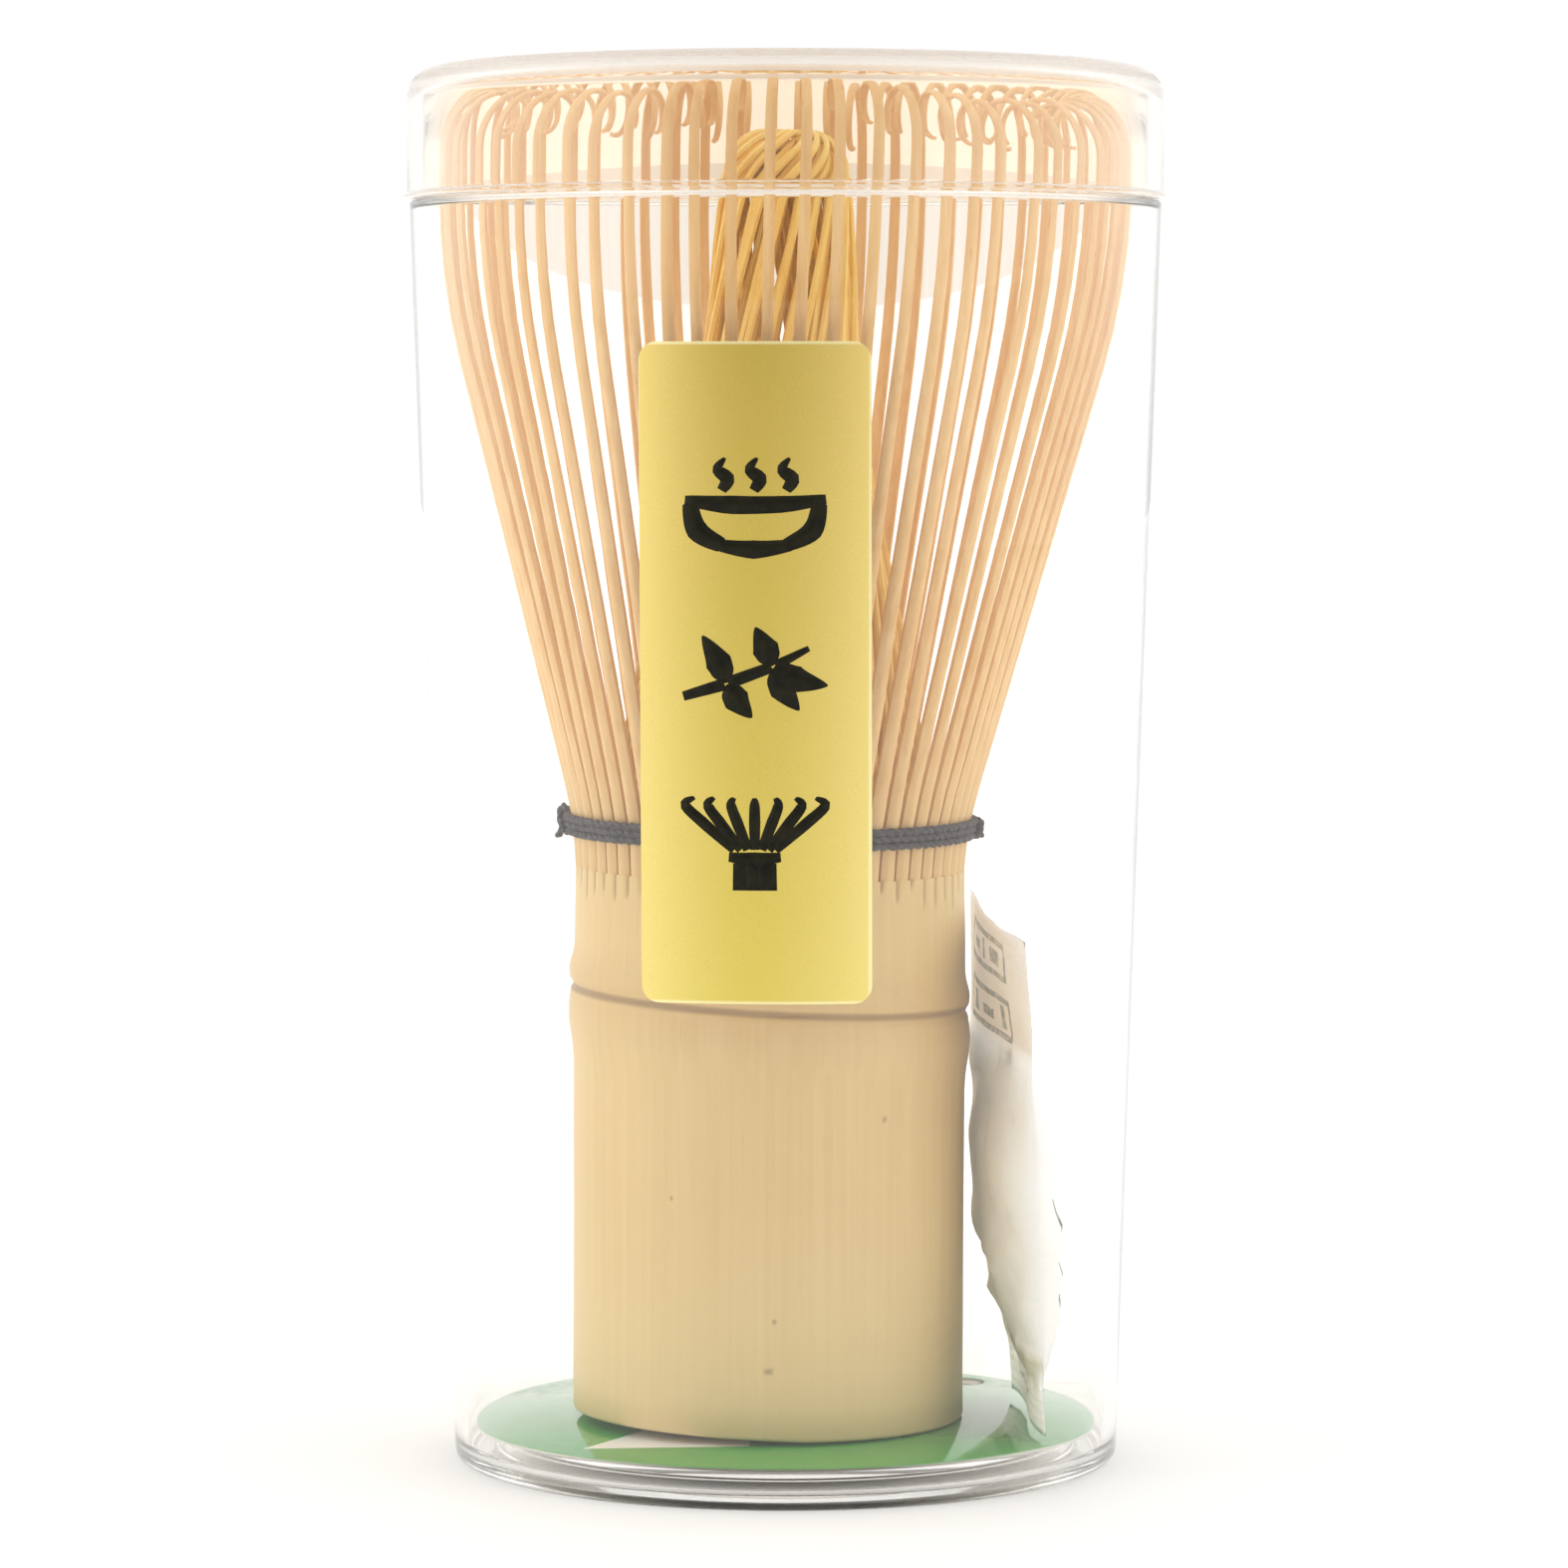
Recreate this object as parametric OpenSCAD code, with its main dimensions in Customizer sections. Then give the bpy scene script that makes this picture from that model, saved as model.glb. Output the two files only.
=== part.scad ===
// Bamboo tea whisk standing in its clear round case, with the card, label and desiccant sachet
// that are packed with it. Millimetres, +Z up, front towards -Y. The origin is the centre of the
// foot plane of the case.

/* [Whisk] */
// Height of the whisk, from the cut end of the handle to the top of the hooks
whisk_height = 112.9; // [98:0.1:138]
// Outer radius of the crown, where the outer tines stand widest
crown_radius = 29.4; // [28.4:0.1:36]
// Radius of the handle at its cut end
handle_radius = 16.85; // [14:0.05:17.5]
// Height of the handle, from its cut end to where the culm is split into tines
split_height = 46.8; // [40:0.1:57]
// Thickness of the culm's wall
culm_wall = 3.95; // [3.6:0.05:4.6]
// Thickness of the natural wall across the culm at the node
diaphragm = 3; // [2:0.5:5]
// Radius of the hook that each outer tine ends in
hook_radius = 2.4; // [2:0.1:3.2]
// Lean of the whisk to the right inside its case, in degrees
lean = 0.9; // [0:0.1:1]

/* [Tines] */
// Number of outer tines in each group
outer_per_group = 4; // [4:1:4]
// Number of inner tines in each group
inner_per_group = 3; // [3:1:3]
// Share of their circle that the outer tines fill at their roots
outer_share = 0.93; // [0.7:0.01:0.95]
// Share of their circle that the inner tines fill at their roots
inner_share = 0.54; // [0.4:0.01:0.6]
// Angle that the inner tines wind through from root to fold, in degrees
inner_twist = 70; // [0:1:80]
// Angle that their tips wind on through in the fold of the head, in degrees
head_twist = 60; // [0:1:80]

/* [Thread] */
// Thickness of the binding thread
thread_size = 0.74; // [0.5:0.02:0.8]
// Number of turns of thread that lie outside the outer tines
thread_turns = 3; // [2:1:3]

/* [Case] */
// Room between the crown of the whisk and the neck of the tub
crown_clearance = 0.7; // [0.6:0.1:2]
// Room between the hooks and the lid
head_clearance = 0.62; // [0.5:0.02:3]
// Wall thickness of the tub
wall = 1.1; // [0.8:0.1:1.4]
// How much wider the tub is at its shoulder than at its foot, on the radius
taper = 3.5; // [1:0.1:4]
// Height of the neck that the lid pushes onto
neck_height = 9.4; // [6:0.1:12]
// Radius of the rounded top edge of the lid
lid_round = 2.5; // [1:0.1:3]
// Height of the raised floor above the foot plane
floor_height = 3.1; // [2.6:0.1:5]

/* [Card] */
// Thickness of the green card disc
card_thickness = 0.3; // [0.2:0.05:0.6]
// Diameter of the small hole in the card
card_hole = 3.8; // [3:0.1:5]

/* [Label] */
// Width of the front label, across
label_width = 19; // [14:0.5:24]
// Height of the front label
label_height = 53.5; // [40:0.5:56]
// Distance of the top edge of the label below the shoulder of the tub
label_drop = 12.2; // [8:0.1:20]
// Corner radius of the label
label_corner = 2.4; // [1:0.1:4]
// How far the label is turned from the front, in degrees
label_turn = -4.7; // [-15:0.1:15]

/* [Sachet] */
// Width of the sachet along its seals
sachet_width = 25; // [20:0.5:26]
// Height of the sachet from seal to seal
sachet_height = 43.6; // [36:0.1:45]
// Thickness of the sachet at its fullest
sachet_thickness = 6.2; // [4:0.1:6.6]

/* [Hidden] */
$fn = 96;

outer_groups = 16;
inner_groups = 12;
outer_count = outer_groups * outer_per_group;
inner_count = inner_groups * inner_per_group;

function two_digits(i) = i < 10 ? str("0", i) : str(i);
function outer_name(i) = str("outer_tines_", two_digits(i));
function inner_name(i) = str("inner_tines_", two_digits(i));

// Small gap between pieces that rest on each other but are not joined
rest_gap = 0.05;

// Whisk frame: its cut end stands on the card, and its low edge just clears it
whisk_x = -1.5;
whisk_z = floor_height + card_thickness + 2 * rest_gap + handle_radius * sin(lean);
whisk_top = whisk_z + whisk_height * cos(lean) + crown_radius * sin(lean);

// Case heights and radii, from the inside out
lid_ceiling = whisk_top + head_clearance;
case_height = lid_ceiling + wall;
neck_top = lid_ceiling - 0.8;
shoulder_z = neck_top - neck_height;
neck_wall = 0.8;
neck_in = crown_radius + crown_clearance;
neck_out = neck_in + neck_wall;
shoulder_radius = neck_out + 1.1;
foot_radius = shoulder_radius - taper;
foot_round = 1;
lid_fit = 0.3;
lid_in = neck_out + lid_fit;
lid_out = lid_in + 1;
lid_rim = 0.3;
lid_bottom = shoulder_z + 0.1;
floor_radius = foot_radius - 4.2;
underside = floor_height - 1.2;

// Outer radius of the tub wall at a height
function tub_r(z) = foot_radius + taper * (z - foot_round) / (shoulder_z - foot_round);

// Points of a round corner in a profile, centred at [x, y]
function arc(x, y, r, from, to, steps = 6) =
    [for (i = [0 : steps]) [x + r * cos(from + (to - from) * i / steps),
                            y + r * sin(from + (to - from) * i / steps)]];

// A blend from 0 to 1 between two heights
function blend(z, a, b) = z <= a ? 0 : z >= b ? 1 : (1 - cos(180 * (z - a) / (b - a))) / 2;

// A rounded bump of height 1 centred at c
function bump(z, c, width) = exp(-pow((z - c) / width, 2));

// Height gained by a slope that starts at a and is steady from b
function ramp(z, a, b) = z <= a ? 0 : z >= b ? (b - a) / 2 + z - b : pow(z - a, 2) / (2 * (b - a));

// Outer surface of the handle: a straight culm, the swollen node with its ridge, and a waist
node_z = 0.765 * split_height;
handle_swell = 0.25;
root_radius = handle_radius - 0.15;
bore_radius = handle_radius - culm_wall;
function handle_r(z) = handle_radius + handle_swell * min(1, z / 30)
    + 0.4 * bump(z, node_z - 2.2, 2.2)
    - 0.5 * bump(z, node_z, 0.55)
    + 0.5 * bump(z, node_z + 1.4, 0.8)
    - (handle_radius + handle_swell - root_radius) * blend(z, node_z + 2, split_height);

// Outer tine: straight spreading leg and a hook at the top
hook_z = whisk_height - hook_radius;
spread_end = hook_z - 5.5;
bend_from = spread_end - 16;
root_bend = 6;
spread_run = ramp(spread_end, split_height, split_height + root_bend)
    - ramp(spread_end, bend_from, spread_end);
spread = (crown_radius - root_radius) / spread_run;
function outer_r(z) = root_radius
    + spread * (ramp(z, split_height, split_height + root_bend) - ramp(z, bend_from, spread_end));
leg_steps = 16;
hook_turn = 215;
hook_steps = 12;
root_depth = 0.95;
outer_root_width = outer_share * 2 * PI * (root_radius - root_depth) / outer_count;
leg_end_depth = 0.45;
tip_depth = 0.3;
function part_way(a, b, t) = a + (b - a) * t;
function leg_z(i) = part_way(split_height, hook_z, i / leg_steps);
function leg_face(z) =
    let (along = (z - split_height) / (leg_z(1) - split_height), i = floor(along))
    part_way(outer_r(leg_z(i)), outer_r(leg_z(i + 1)), along - i);
function leg_depth(i) = part_way(root_depth, leg_end_depth, i / leg_steps);
function hook_point(r, i) = [crown_radius - hook_radius + r * cos(hook_turn * i / hook_steps),
                             hook_z + r * sin(hook_turn * i / hook_steps)];

// Inner tine: a leg that closes in towards the axis and a tip folded over into the head
inner_root = root_radius - 2.5;
inner_depth = 0.9;
inner_root_width = inner_share * 2 * PI * (inner_root - inner_depth / 2) / inner_count;
fold_z = whisk_height - 6.4;
fold_centre = 1.95;
fold_turn = 100;
inner_leg_steps = 10;
fold_steps = 5;
inner_last = inner_leg_steps + fold_steps;
function fold_r(layer) = layer == 0 ? 3 : 2.3;
function on_leg(i) = min(1, i / inner_leg_steps);
function fold_angle(i) = max(0, i - inner_leg_steps) * fold_turn / fold_steps;
function inner_mid(i, layer) = [
    i <= inner_leg_steps
        ? part_way(inner_root, fold_centre + fold_r(layer), on_leg(i))
        : fold_centre + fold_r(layer) * cos(fold_angle(i)),
    i <= inner_leg_steps
        ? part_way(split_height, fold_z, on_leg(i))
        : fold_z + fold_r(layer) * sin(fold_angle(i))];
function inner_width(i) = i <= inner_leg_steps
    ? part_way(inner_root_width, 0.72, on_leg(i))
    : part_way(0.72, 0.38, fold_angle(i) / fold_turn);
function inner_thick(i) = part_way(inner_depth, 0.42, on_leg(i));

// The four corners of an inner tine's section, side is -1 or 1 across and face is -1 or 1 in depth
function inner_corner(i, layer, side, face) =
    let (mid = inner_mid(i, layer),
         tilt = fold_angle(i),
         wind = inner_twist * pow(on_leg(i), 2.2) + head_twist * tilt / fold_turn,
         r = mid[0] + face * inner_thick(i) / 2 * cos(tilt),
         z = mid[1] + (i == 0 ? 0 : face * inner_thick(i) / 2 * sin(tilt)),
         across = side * inner_width(i) / 2)
    [r * cos(wind) - across * sin(wind), r * sin(wind) + across * cos(wind), z];
function inner_ring(i, layer) = [
    inner_corner(i, layer, -1, -1),
    inner_corner(i, layer, -1, 1),
    inner_corner(i, layer, 1, 1),
    inner_corner(i, layer, 1, -1)];

// Thread: turns that lie on the outer tines, and one ring between outer and inner tines
thread_z = split_height + 3.6;
thread_pitch = thread_size + 0.06;
function turn_z(k) = thread_z + (k - (thread_turns - 1) / 2) * thread_pitch;
function turn_r(k) = leg_face(turn_z(k) + thread_size / 2) + thread_size / 2 + rest_gap;
knot_size = 1.1 * thread_size;
knot_r = leg_face(thread_z + knot_size) + knot_size + rest_gap;

// Card
card_z = floor_height + rest_gap;
card_radius = foot_radius - wall - 0.7;

// Sachet: it stands in the gap to the right of the handle, as far out as its front corner can go
sachet_foot = card_z + card_thickness + 0.6;
sachet_up = min(sachet_height, split_height - 3);
seal = 0.8;
paper = 0.35;
sachet_y = -1.5;
foot_shift = [0.8, -0.9];
foot_turn = 5;
top_shift = -1.5;
top_turn = 8;
corner_y = sachet_width / 2 * cos(foot_turn) + seal / 2 - sachet_y - foot_shift[1];
corner_x = sachet_width / 2 * sin(foot_turn) + seal / 2 + foot_shift[0];
sachet_x = sqrt(pow(foot_radius - wall - 0.45, 2) - pow(corner_y, 2)) - corner_x;
handle_side = handle_radius + handle_swell + whisk_x + lean / 2;
sachet_thick = min(sachet_thickness, 2 * (sachet_x - handle_side - 0.5));
fill_size = [sachet_thick / 2, 11.2, 14];
fill_centre = [sachet_x, sachet_y, sachet_foot + 0.47 * sachet_up];
bead_pitch = 2.6;
bead_radius = 0.95;

module rounded_rectangle(w, h, r) {
    translate([r, 0]) square([w - 2 * r, h]);
    translate([0, r]) square([w, h - 2 * r]);
    for (x = [r, w - r], y = [r, h - r]) translate([x, y]) circle(r);
}

// Puts a piece made in the whisk's own frame where the whisk stands
module in_whisk() {
    translate([whisk_x, 0, whisk_z]) rotate([0, lean, 0]) children();
}

module case_tub() {
    inner_wall_foot = tub_r(2.4) - wall;
    color([0.93, 0.94, 0.94, 0.25])
        rotate_extrude() polygon(concat(
            [[0, underside], [floor_radius - 0.9, underside], [floor_radius - 0.3, 0]],
            arc(foot_radius - foot_round, foot_round, foot_round, -90, 0),
            [[shoulder_radius, shoulder_z], [neck_out, shoulder_z], [neck_out, neck_top]],
            [[neck_in, neck_top], [neck_in, shoulder_z]],
            [[shoulder_radius - wall, shoulder_z - 1.2]],
            arc(inner_wall_foot - 1.2, 2.4, 1.2, 0, -90, 4),
            [[floor_radius + 0.6, 1.2], [floor_radius, floor_height], [0, floor_height]]
        ));
}

module case_lid() {
    round_in = lid_round - 0.8;
    color([0.93, 0.94, 0.94, 0.25])
        rotate_extrude() polygon(concat(
            [[0, lid_ceiling]],
            arc(lid_in - round_in, lid_ceiling - round_in, round_in, 90, 0, 4),
            [[lid_in, lid_bottom], [lid_out + lid_rim, lid_bottom]],
            [[lid_out + lid_rim, lid_bottom + 0.7], [lid_out, lid_bottom + 1]],
            arc(lid_out - lid_round, case_height - lid_round, lid_round, 0, 90),
            [[0, case_height]]
        ));
}

module front_label() {
    film = 0.15;
    color([0.86, 0.80, 0.42])
        rotate([0, 0, label_turn])
            intersection() {
                difference() {
                    cylinder(h = shoulder_z, r1 = tub_r(0) + film, r2 = shoulder_radius + film);
                    cylinder(h = shoulder_z, r1 = tub_r(0), r2 = shoulder_radius);
                }
                translate([-label_width / 2, 0, shoulder_z - label_drop - label_height])
                    rotate([90, 0, 0])
                        linear_extrude(height = 2 * shoulder_radius)
                            rounded_rectangle(label_width, label_height, label_corner);
            }
}

module base_card() {
    color([0.47, 0.73, 0.43])
        difference() {
            translate([0, 0, card_z]) cylinder(h = card_thickness, r = card_radius);
            rotate([0, 0, 46])
                translate([card_radius - 3.6, 0, 0])
                    cylinder(h = 2 * floor_height, r = card_hole / 2);
        }
}

// The pillow of the sachet, grown or shrunk by a margin
module sachet_pillow(margin) {
    width = sachet_width + 2 * margin;
    bar = seal + 2 * margin;
    hull() {
        translate([sachet_x + foot_shift[0], sachet_y + foot_shift[1], sachet_foot + seal / 2])
            rotate([0, 0, foot_turn]) cube([bar, width, bar], center = true);
        translate(fill_centre)
            scale(fill_size + [1, 1, 1] * margin) sphere(1, $fn = 28);
        translate([sachet_x + top_shift, sachet_y, sachet_foot + sachet_up - seal / 2])
            rotate([0, 0, top_turn]) cube([bar, width - 1, bar], center = true);
    }
}

module desiccant_sachet() {
    color([0.96, 0.94, 0.91])
        difference() {
            sachet_pillow(0);
            sachet_pillow(-paper);
        }
}

// Beads of desiccant on a lattice, wherever the fill of the sachet has room for one
module desiccant_beads() {
    room = fill_size - [1, 1, 1] * (paper + bead_radius + 0.15);
    color([0.98, 0.98, 0.96])
        for (i = [-1 : 1], j = [-4 : 4], k = [-5 : 5]) {
            at = [i, j + 0.5 * abs(k % 2), k] * bead_pitch;
            level = pow(at[0] / room[0], 2) + pow(at[1] / room[1], 2) + pow(at[2] / room[2], 2);
            if (level < 1)
                translate(fill_centre + at)
                    sphere(bead_radius, $fn = 24);
        }
}

module handle() {
    plain_top = node_z - 8;
    node_steps = 34;
    color([0.88, 0.78, 0.58])
        in_whisk() difference() {
            rotate_extrude() polygon(concat(
                [[0, 0], [handle_r(0) - 0.4, 0], [handle_r(0), 0.4]],
                [for (i = [0 : 3]) [handle_r(plain_top * (i + 1) / 4), plain_top * (i + 1) / 4]],
                [for (i = [1 : node_steps])
                    let (z = part_way(plain_top, split_height, i / node_steps)) [handle_r(z), z]],
                [[0, split_height]]
            ));
            translate([0, 0, -1]) cylinder(h = node_z - diaphragm + 1, r = bore_radius);
            translate([0, 0, node_z]) cylinder(h = split_height, r = bore_radius);
        }
}

module binding_thread() {
    inner_ring_r = (inner_root + inner_depth / 2 + outer_r(thread_z) - root_depth) / 2;
    color([0.36, 0.34, 0.35])
        in_whisk() {
            for (k = [0 : thread_turns - 1])
                translate([0, 0, turn_z(k)])
                    rotate_extrude() translate([turn_r(k), 0]) circle(thread_size / 2);
            rotate([0, 0, 176])
                translate([knot_r, 0, thread_z]) sphere(knot_size, $fn = 32);
            translate([0, 0, thread_z])
                rotate_extrude() translate([inner_ring_r, 0]) circle(thread_size / 2);
        }
}

// One outer tine lying in the XZ plane, its back face outward
module outer_tine() {
    half = outer_root_width / 2;
    intersection() {
        rotate([90, 0, 0])
            linear_extrude(height = 4, center = true)
                polygon(concat(
                    [for (i = [0 : leg_steps]) [outer_r(leg_z(i)), leg_z(i)]],
                    [for (i = [1 : hook_steps]) hook_point(hook_radius, i)],
                    [for (i = [hook_steps : -1 : 1])
                        hook_point(hook_radius - part_way(leg_end_depth, tip_depth, i / hook_steps), i)],
                    [for (i = [leg_steps : -1 : 0]) [outer_r(leg_z(i)) - leg_depth(i), leg_z(i)]]
                ));
        rotate([90, 0, 90])
            linear_extrude(height = crown_radius + 1)
                polygon([
                    [-half, split_height], [half, split_height],
                    [0.65 * half, hook_z], [0.55 * half, whisk_height + 1],
                    [-0.55 * half, whisk_height + 1], [-0.65 * half, hook_z]
                ]);
    }
}

// One inner tine, with its root at the +X side
module inner_tine(layer) {
    last = 4 * inner_last;
    polyhedron(
        points = [for (i = [0 : inner_last]) each inner_ring(i, layer)],
        faces = concat(
            [[2, 1, 0], [3, 2, 0]],
            [for (i = [0 : inner_last - 1], j = [0 : 3])
                [4 * i + j, 4 * i + (j + 1) % 4, 4 * i + 4 + j]],
            [for (i = [0 : inner_last - 1], j = [0 : 3])
                [4 * i + (j + 1) % 4, 4 * i + 4 + (j + 1) % 4, 4 * i + 4 + j]],
            [[last, last + 1, last + 2], [last, last + 2, last + 3]]
        )
    );
}

// One group of outer tines, split from a single stave of the culm
module outer_tines(group) {
    color([0.94, 0.81, 0.64])
        in_whisk()
            for (k = [0 : outer_per_group - 1])
                rotate([0, 0, (outer_per_group * (group - 1) + k + 0.5) * 360 / outer_count])
                    outer_tine();
}

module inner_tines(group) {
    color([0.90, 0.70, 0.42])
        in_whisk()
            for (k = [0 : inner_per_group - 1])
                let (index = inner_per_group * (group - 1) + k)
                    rotate([0, 0, index * 360 / inner_count]) inner_tine(index % 2);
}

case_tub();
case_lid();
front_label();
base_card();
desiccant_sachet();
desiccant_beads();
handle();
binding_thread();
for (i = [1 : outer_groups])
    outer_tines(i);
for (i = [1 : inner_groups])
    inner_tines(i);
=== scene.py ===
"""Bamboo tea whisk in its clear case: the looks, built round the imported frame."""

import math
import random

import bmesh
import bpy
from mathutils import Matrix, Vector, noise


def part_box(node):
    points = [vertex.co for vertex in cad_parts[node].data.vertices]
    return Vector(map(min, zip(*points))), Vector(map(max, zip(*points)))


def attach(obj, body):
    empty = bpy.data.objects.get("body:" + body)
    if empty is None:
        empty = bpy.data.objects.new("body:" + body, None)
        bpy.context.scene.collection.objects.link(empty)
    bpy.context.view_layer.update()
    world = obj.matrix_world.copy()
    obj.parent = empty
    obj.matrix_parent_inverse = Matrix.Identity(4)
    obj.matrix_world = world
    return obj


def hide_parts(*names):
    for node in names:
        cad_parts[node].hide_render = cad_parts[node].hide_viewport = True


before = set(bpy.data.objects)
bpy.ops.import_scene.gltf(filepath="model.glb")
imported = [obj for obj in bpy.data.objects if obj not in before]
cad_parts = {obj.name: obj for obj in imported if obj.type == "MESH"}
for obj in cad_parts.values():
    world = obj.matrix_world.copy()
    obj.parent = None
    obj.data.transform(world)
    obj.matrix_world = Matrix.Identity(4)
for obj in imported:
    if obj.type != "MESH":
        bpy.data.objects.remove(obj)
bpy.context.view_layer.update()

MM = 0.001
TURN = 2 * math.pi

# -------------------- sizes

# The whisk stands on the card and leans a little to the right
LEAN = math.radians(0.9)
WHISK_X = -1.5 * MM
CUT_RADIUS = 16.85 * MM
WHISK_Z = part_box("handle")[0].z + CUT_RADIUS * math.sin(LEAN)
IN_WHISK = Matrix.Translation((WHISK_X, 0, WHISK_Z)) @ Matrix.Rotation(LEAN, 4, "Y")

WHISK_HEIGHT = 112.9 * MM
SPLIT_HEIGHT = 46.8 * MM
ROOT_RADIUS = CUT_RADIUS - 0.15 * MM
HANDLE_RADIUS = 16.8 * MM
BORE_RADIUS = 12.9 * MM
NODE_Z = 0.765 * SPLIT_HEIGHT
DIAPHRAGM = 3 * MM
CROWN_RADIUS = 29.4 * MM
OUTER_GROUPS = 16
OUTER_PER_GROUP = 4
INNER_GROUPS = 12
INNER_PER_GROUP = 3
OUTER_COUNT = OUTER_GROUPS * OUTER_PER_GROUP
INNER_COUNT = INNER_GROUPS * INNER_PER_GROUP
THREAD_SIZE = 0.74 * MM
THREAD_Z = SPLIT_HEIGHT + 3.6 * MM

# The case, from its own boxes
LID_LOW, LID_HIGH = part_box("case_lid")
TUB_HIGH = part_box("case_tub")[1]
SHOULDER_Z = LID_LOW.z - 0.1 * MM
SHOULDER_RADIUS = TUB_HIGH.x
NECK_TOP = TUB_HIGH.z
NECK_OUT = SHOULDER_RADIUS - 1.1 * MM
NECK_IN = NECK_OUT - 0.8 * MM
WALL = 1.1 * MM
FOOT_RADIUS = SHOULDER_RADIUS - 3.5 * MM
FLOOR_RADIUS = FOOT_RADIUS - 4.2 * MM
CARD_LOW, CARD_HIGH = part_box("base_card")
FLOOR_HEIGHT = CARD_LOW.z - 0.05 * MM
HOLE_RADIUS = 1.9 * MM
HOLE_TURN = math.radians(46)
HOLE_AT = Vector((math.cos(HOLE_TURN), math.sin(HOLE_TURN), 0)) * (CARD_HIGH.x - 3.6 * MM)
LABEL_LOW, LABEL_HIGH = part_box("front_label")
LABEL_TURN = math.radians(-4.7)
LABEL_WIDTH = 19 * MM
LABEL_THICKNESS = 0.13 * MM


def blend(z, a, b):
    """A smooth step from 0 to 1 between a and b."""
    return (1 - math.cos(math.pi * min(max((z - a) / (b - a), 0), 1))) / 2


def bump(z, centre, width):
    return math.exp(-(((z - centre) / width) ** 2))


def ramp(z, a, b):
    """Height gained by a slope that starts at a and is steady from b."""
    if z <= a:
        return 0
    return (b - a) / 2 + z - b if z >= b else (z - a) ** 2 / (2 * (b - a))


def part_way(a, b, t):
    return a + (b - a) * t


def handle_r(z, scar=0.0):
    """Radius of the culm's skin. scar lifts or lowers the node, which runs a little askew."""
    waist = (HANDLE_RADIUS - ROOT_RADIUS) * blend(z, NODE_Z + 2 * MM, SPLIT_HEIGHT)
    z0 = z - scar
    return (
        HANDLE_RADIUS
        + 0.5 * MM * bump(z0, NODE_Z - 2.4 * MM, 2.6 * MM)
        - 0.3 * MM * bump(z0, NODE_Z, 0.3 * MM)
        + 0.38 * MM * bump(z0, NODE_Z + 1.3 * MM, 1.2 * MM)
        - waist
    )


def curve_whisk(bm):
    """The real whisk is not straight: its handle stands upright and its tines lean instead."""
    for v in bm.verts:
        z = v.co.z - WHISK_Z
        upright = min(z, SPLIT_HEIGHT)
        late = max(0, z - SPLIT_HEIGHT)
        v.co.x -= 0.012 * upright - min(0.012 * SPLIT_HEIGHT, 0.0072 * late)


HOOK_Z = WHISK_HEIGHT - 2.4 * MM
SPREAD_END = HOOK_Z - 5.5 * MM
BEND_FROM = SPREAD_END - 16 * MM
ROOT_BEND = 6 * MM


def spread_run(z):
    return ramp(z, SPLIT_HEIGHT, SPLIT_HEIGHT + ROOT_BEND) - ramp(z, BEND_FROM, SPREAD_END)


def outer_r(z, crown=CROWN_RADIUS):
    """Radius of the outer face of an outer tine at a height."""
    return ROOT_RADIUS + (crown - ROOT_RADIUS) * spread_run(z) / spread_run(SPREAD_END)


def tub_r(z):
    return FOOT_RADIUS + (SHOULDER_RADIUS - FOOT_RADIUS) * (z - MM) / (SHOULDER_Z - MM)


# -------------------- mesh tools


def as_object(bm, name):
    mesh = bpy.data.meshes.new(name)
    bm.to_mesh(mesh)
    bm.free()
    made = bpy.data.objects.new(name, mesh)
    bpy.context.scene.collection.objects.link(made)
    return made


def piece(bm, name, body, stands_for, look):
    """Makes the bmesh an object on a body, in place of its CAD node. look is (material, slot); its slot is
    not used.
    """
    if body == "whisk":
        bmesh.ops.transform(bm, matrix=IN_WHISK, verts=bm.verts)
        curve_whisk(bm)
    bmesh.ops.recalc_face_normals(bm, faces=bm.faces)
    for face in bm.faces:
        face.smooth = True
    made = as_object(bm, name)
    made.data.materials.append(look[0])
    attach(made, body)
    if stands_for:
        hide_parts(*stands_for)
    return made


def sharpen(bm, degrees):
    """Marks the edges that turn more than an angle as sharp."""
    for edge in bm.edges:
        if len(edge.link_faces) == 2:
            edge.smooth = edge.calc_face_angle(0) < math.radians(degrees)


def rounded_outline(points, steps=5):
    """Points of an outline of (r, z, corner radius), with each corner turned into an arc."""
    outline = []
    count = len(points)
    for i, (x, y, radius) in enumerate(points):
        here = Vector((x, y))
        if radius <= 0:
            outline.append(here)
            continue
        back = (Vector(points[i - 1][:2]) - here).normalized()
        ahead = (Vector(points[(i + 1) % count][:2]) - here).normalized()
        half = back.angle(ahead) / 2
        reach = radius / math.tan(half)
        centre = here + (back + ahead).normalized() * radius / math.sin(half)
        start, end = here + back * reach, here + ahead * reach
        a = math.atan2(*(start - centre).yx)
        b = math.atan2(*(end - centre).yx)
        b = a + (b - a + math.pi) % TURN - math.pi
        for k in range(steps + 1):
            angle = part_way(a, b, k / steps)
            outline.append(centre + radius * Vector((math.cos(angle), math.sin(angle))))
    return outline


def spun(outline, steps, closed=False):
    """A bmesh turned about Z from an outline of (r, z)."""
    bm = bmesh.new()
    verts = [bm.verts.new((max(p[0], 0), 0, p[1])) for p in outline]
    for a, b in zip(verts, verts[1:] + ([verts[0]] if closed else [])):
        bm.edges.new((a, b))
    bmesh.ops.spin(
        bm,
        geom=bm.verts[:] + bm.edges[:],
        axis=(0, 0, 1),
        cent=(0, 0, 0),
        angle=TURN,
        steps=steps,
        use_merge=True,
    )
    bmesh.ops.remove_doubles(bm, verts=bm.verts, dist=1e-7)
    return bm


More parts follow.
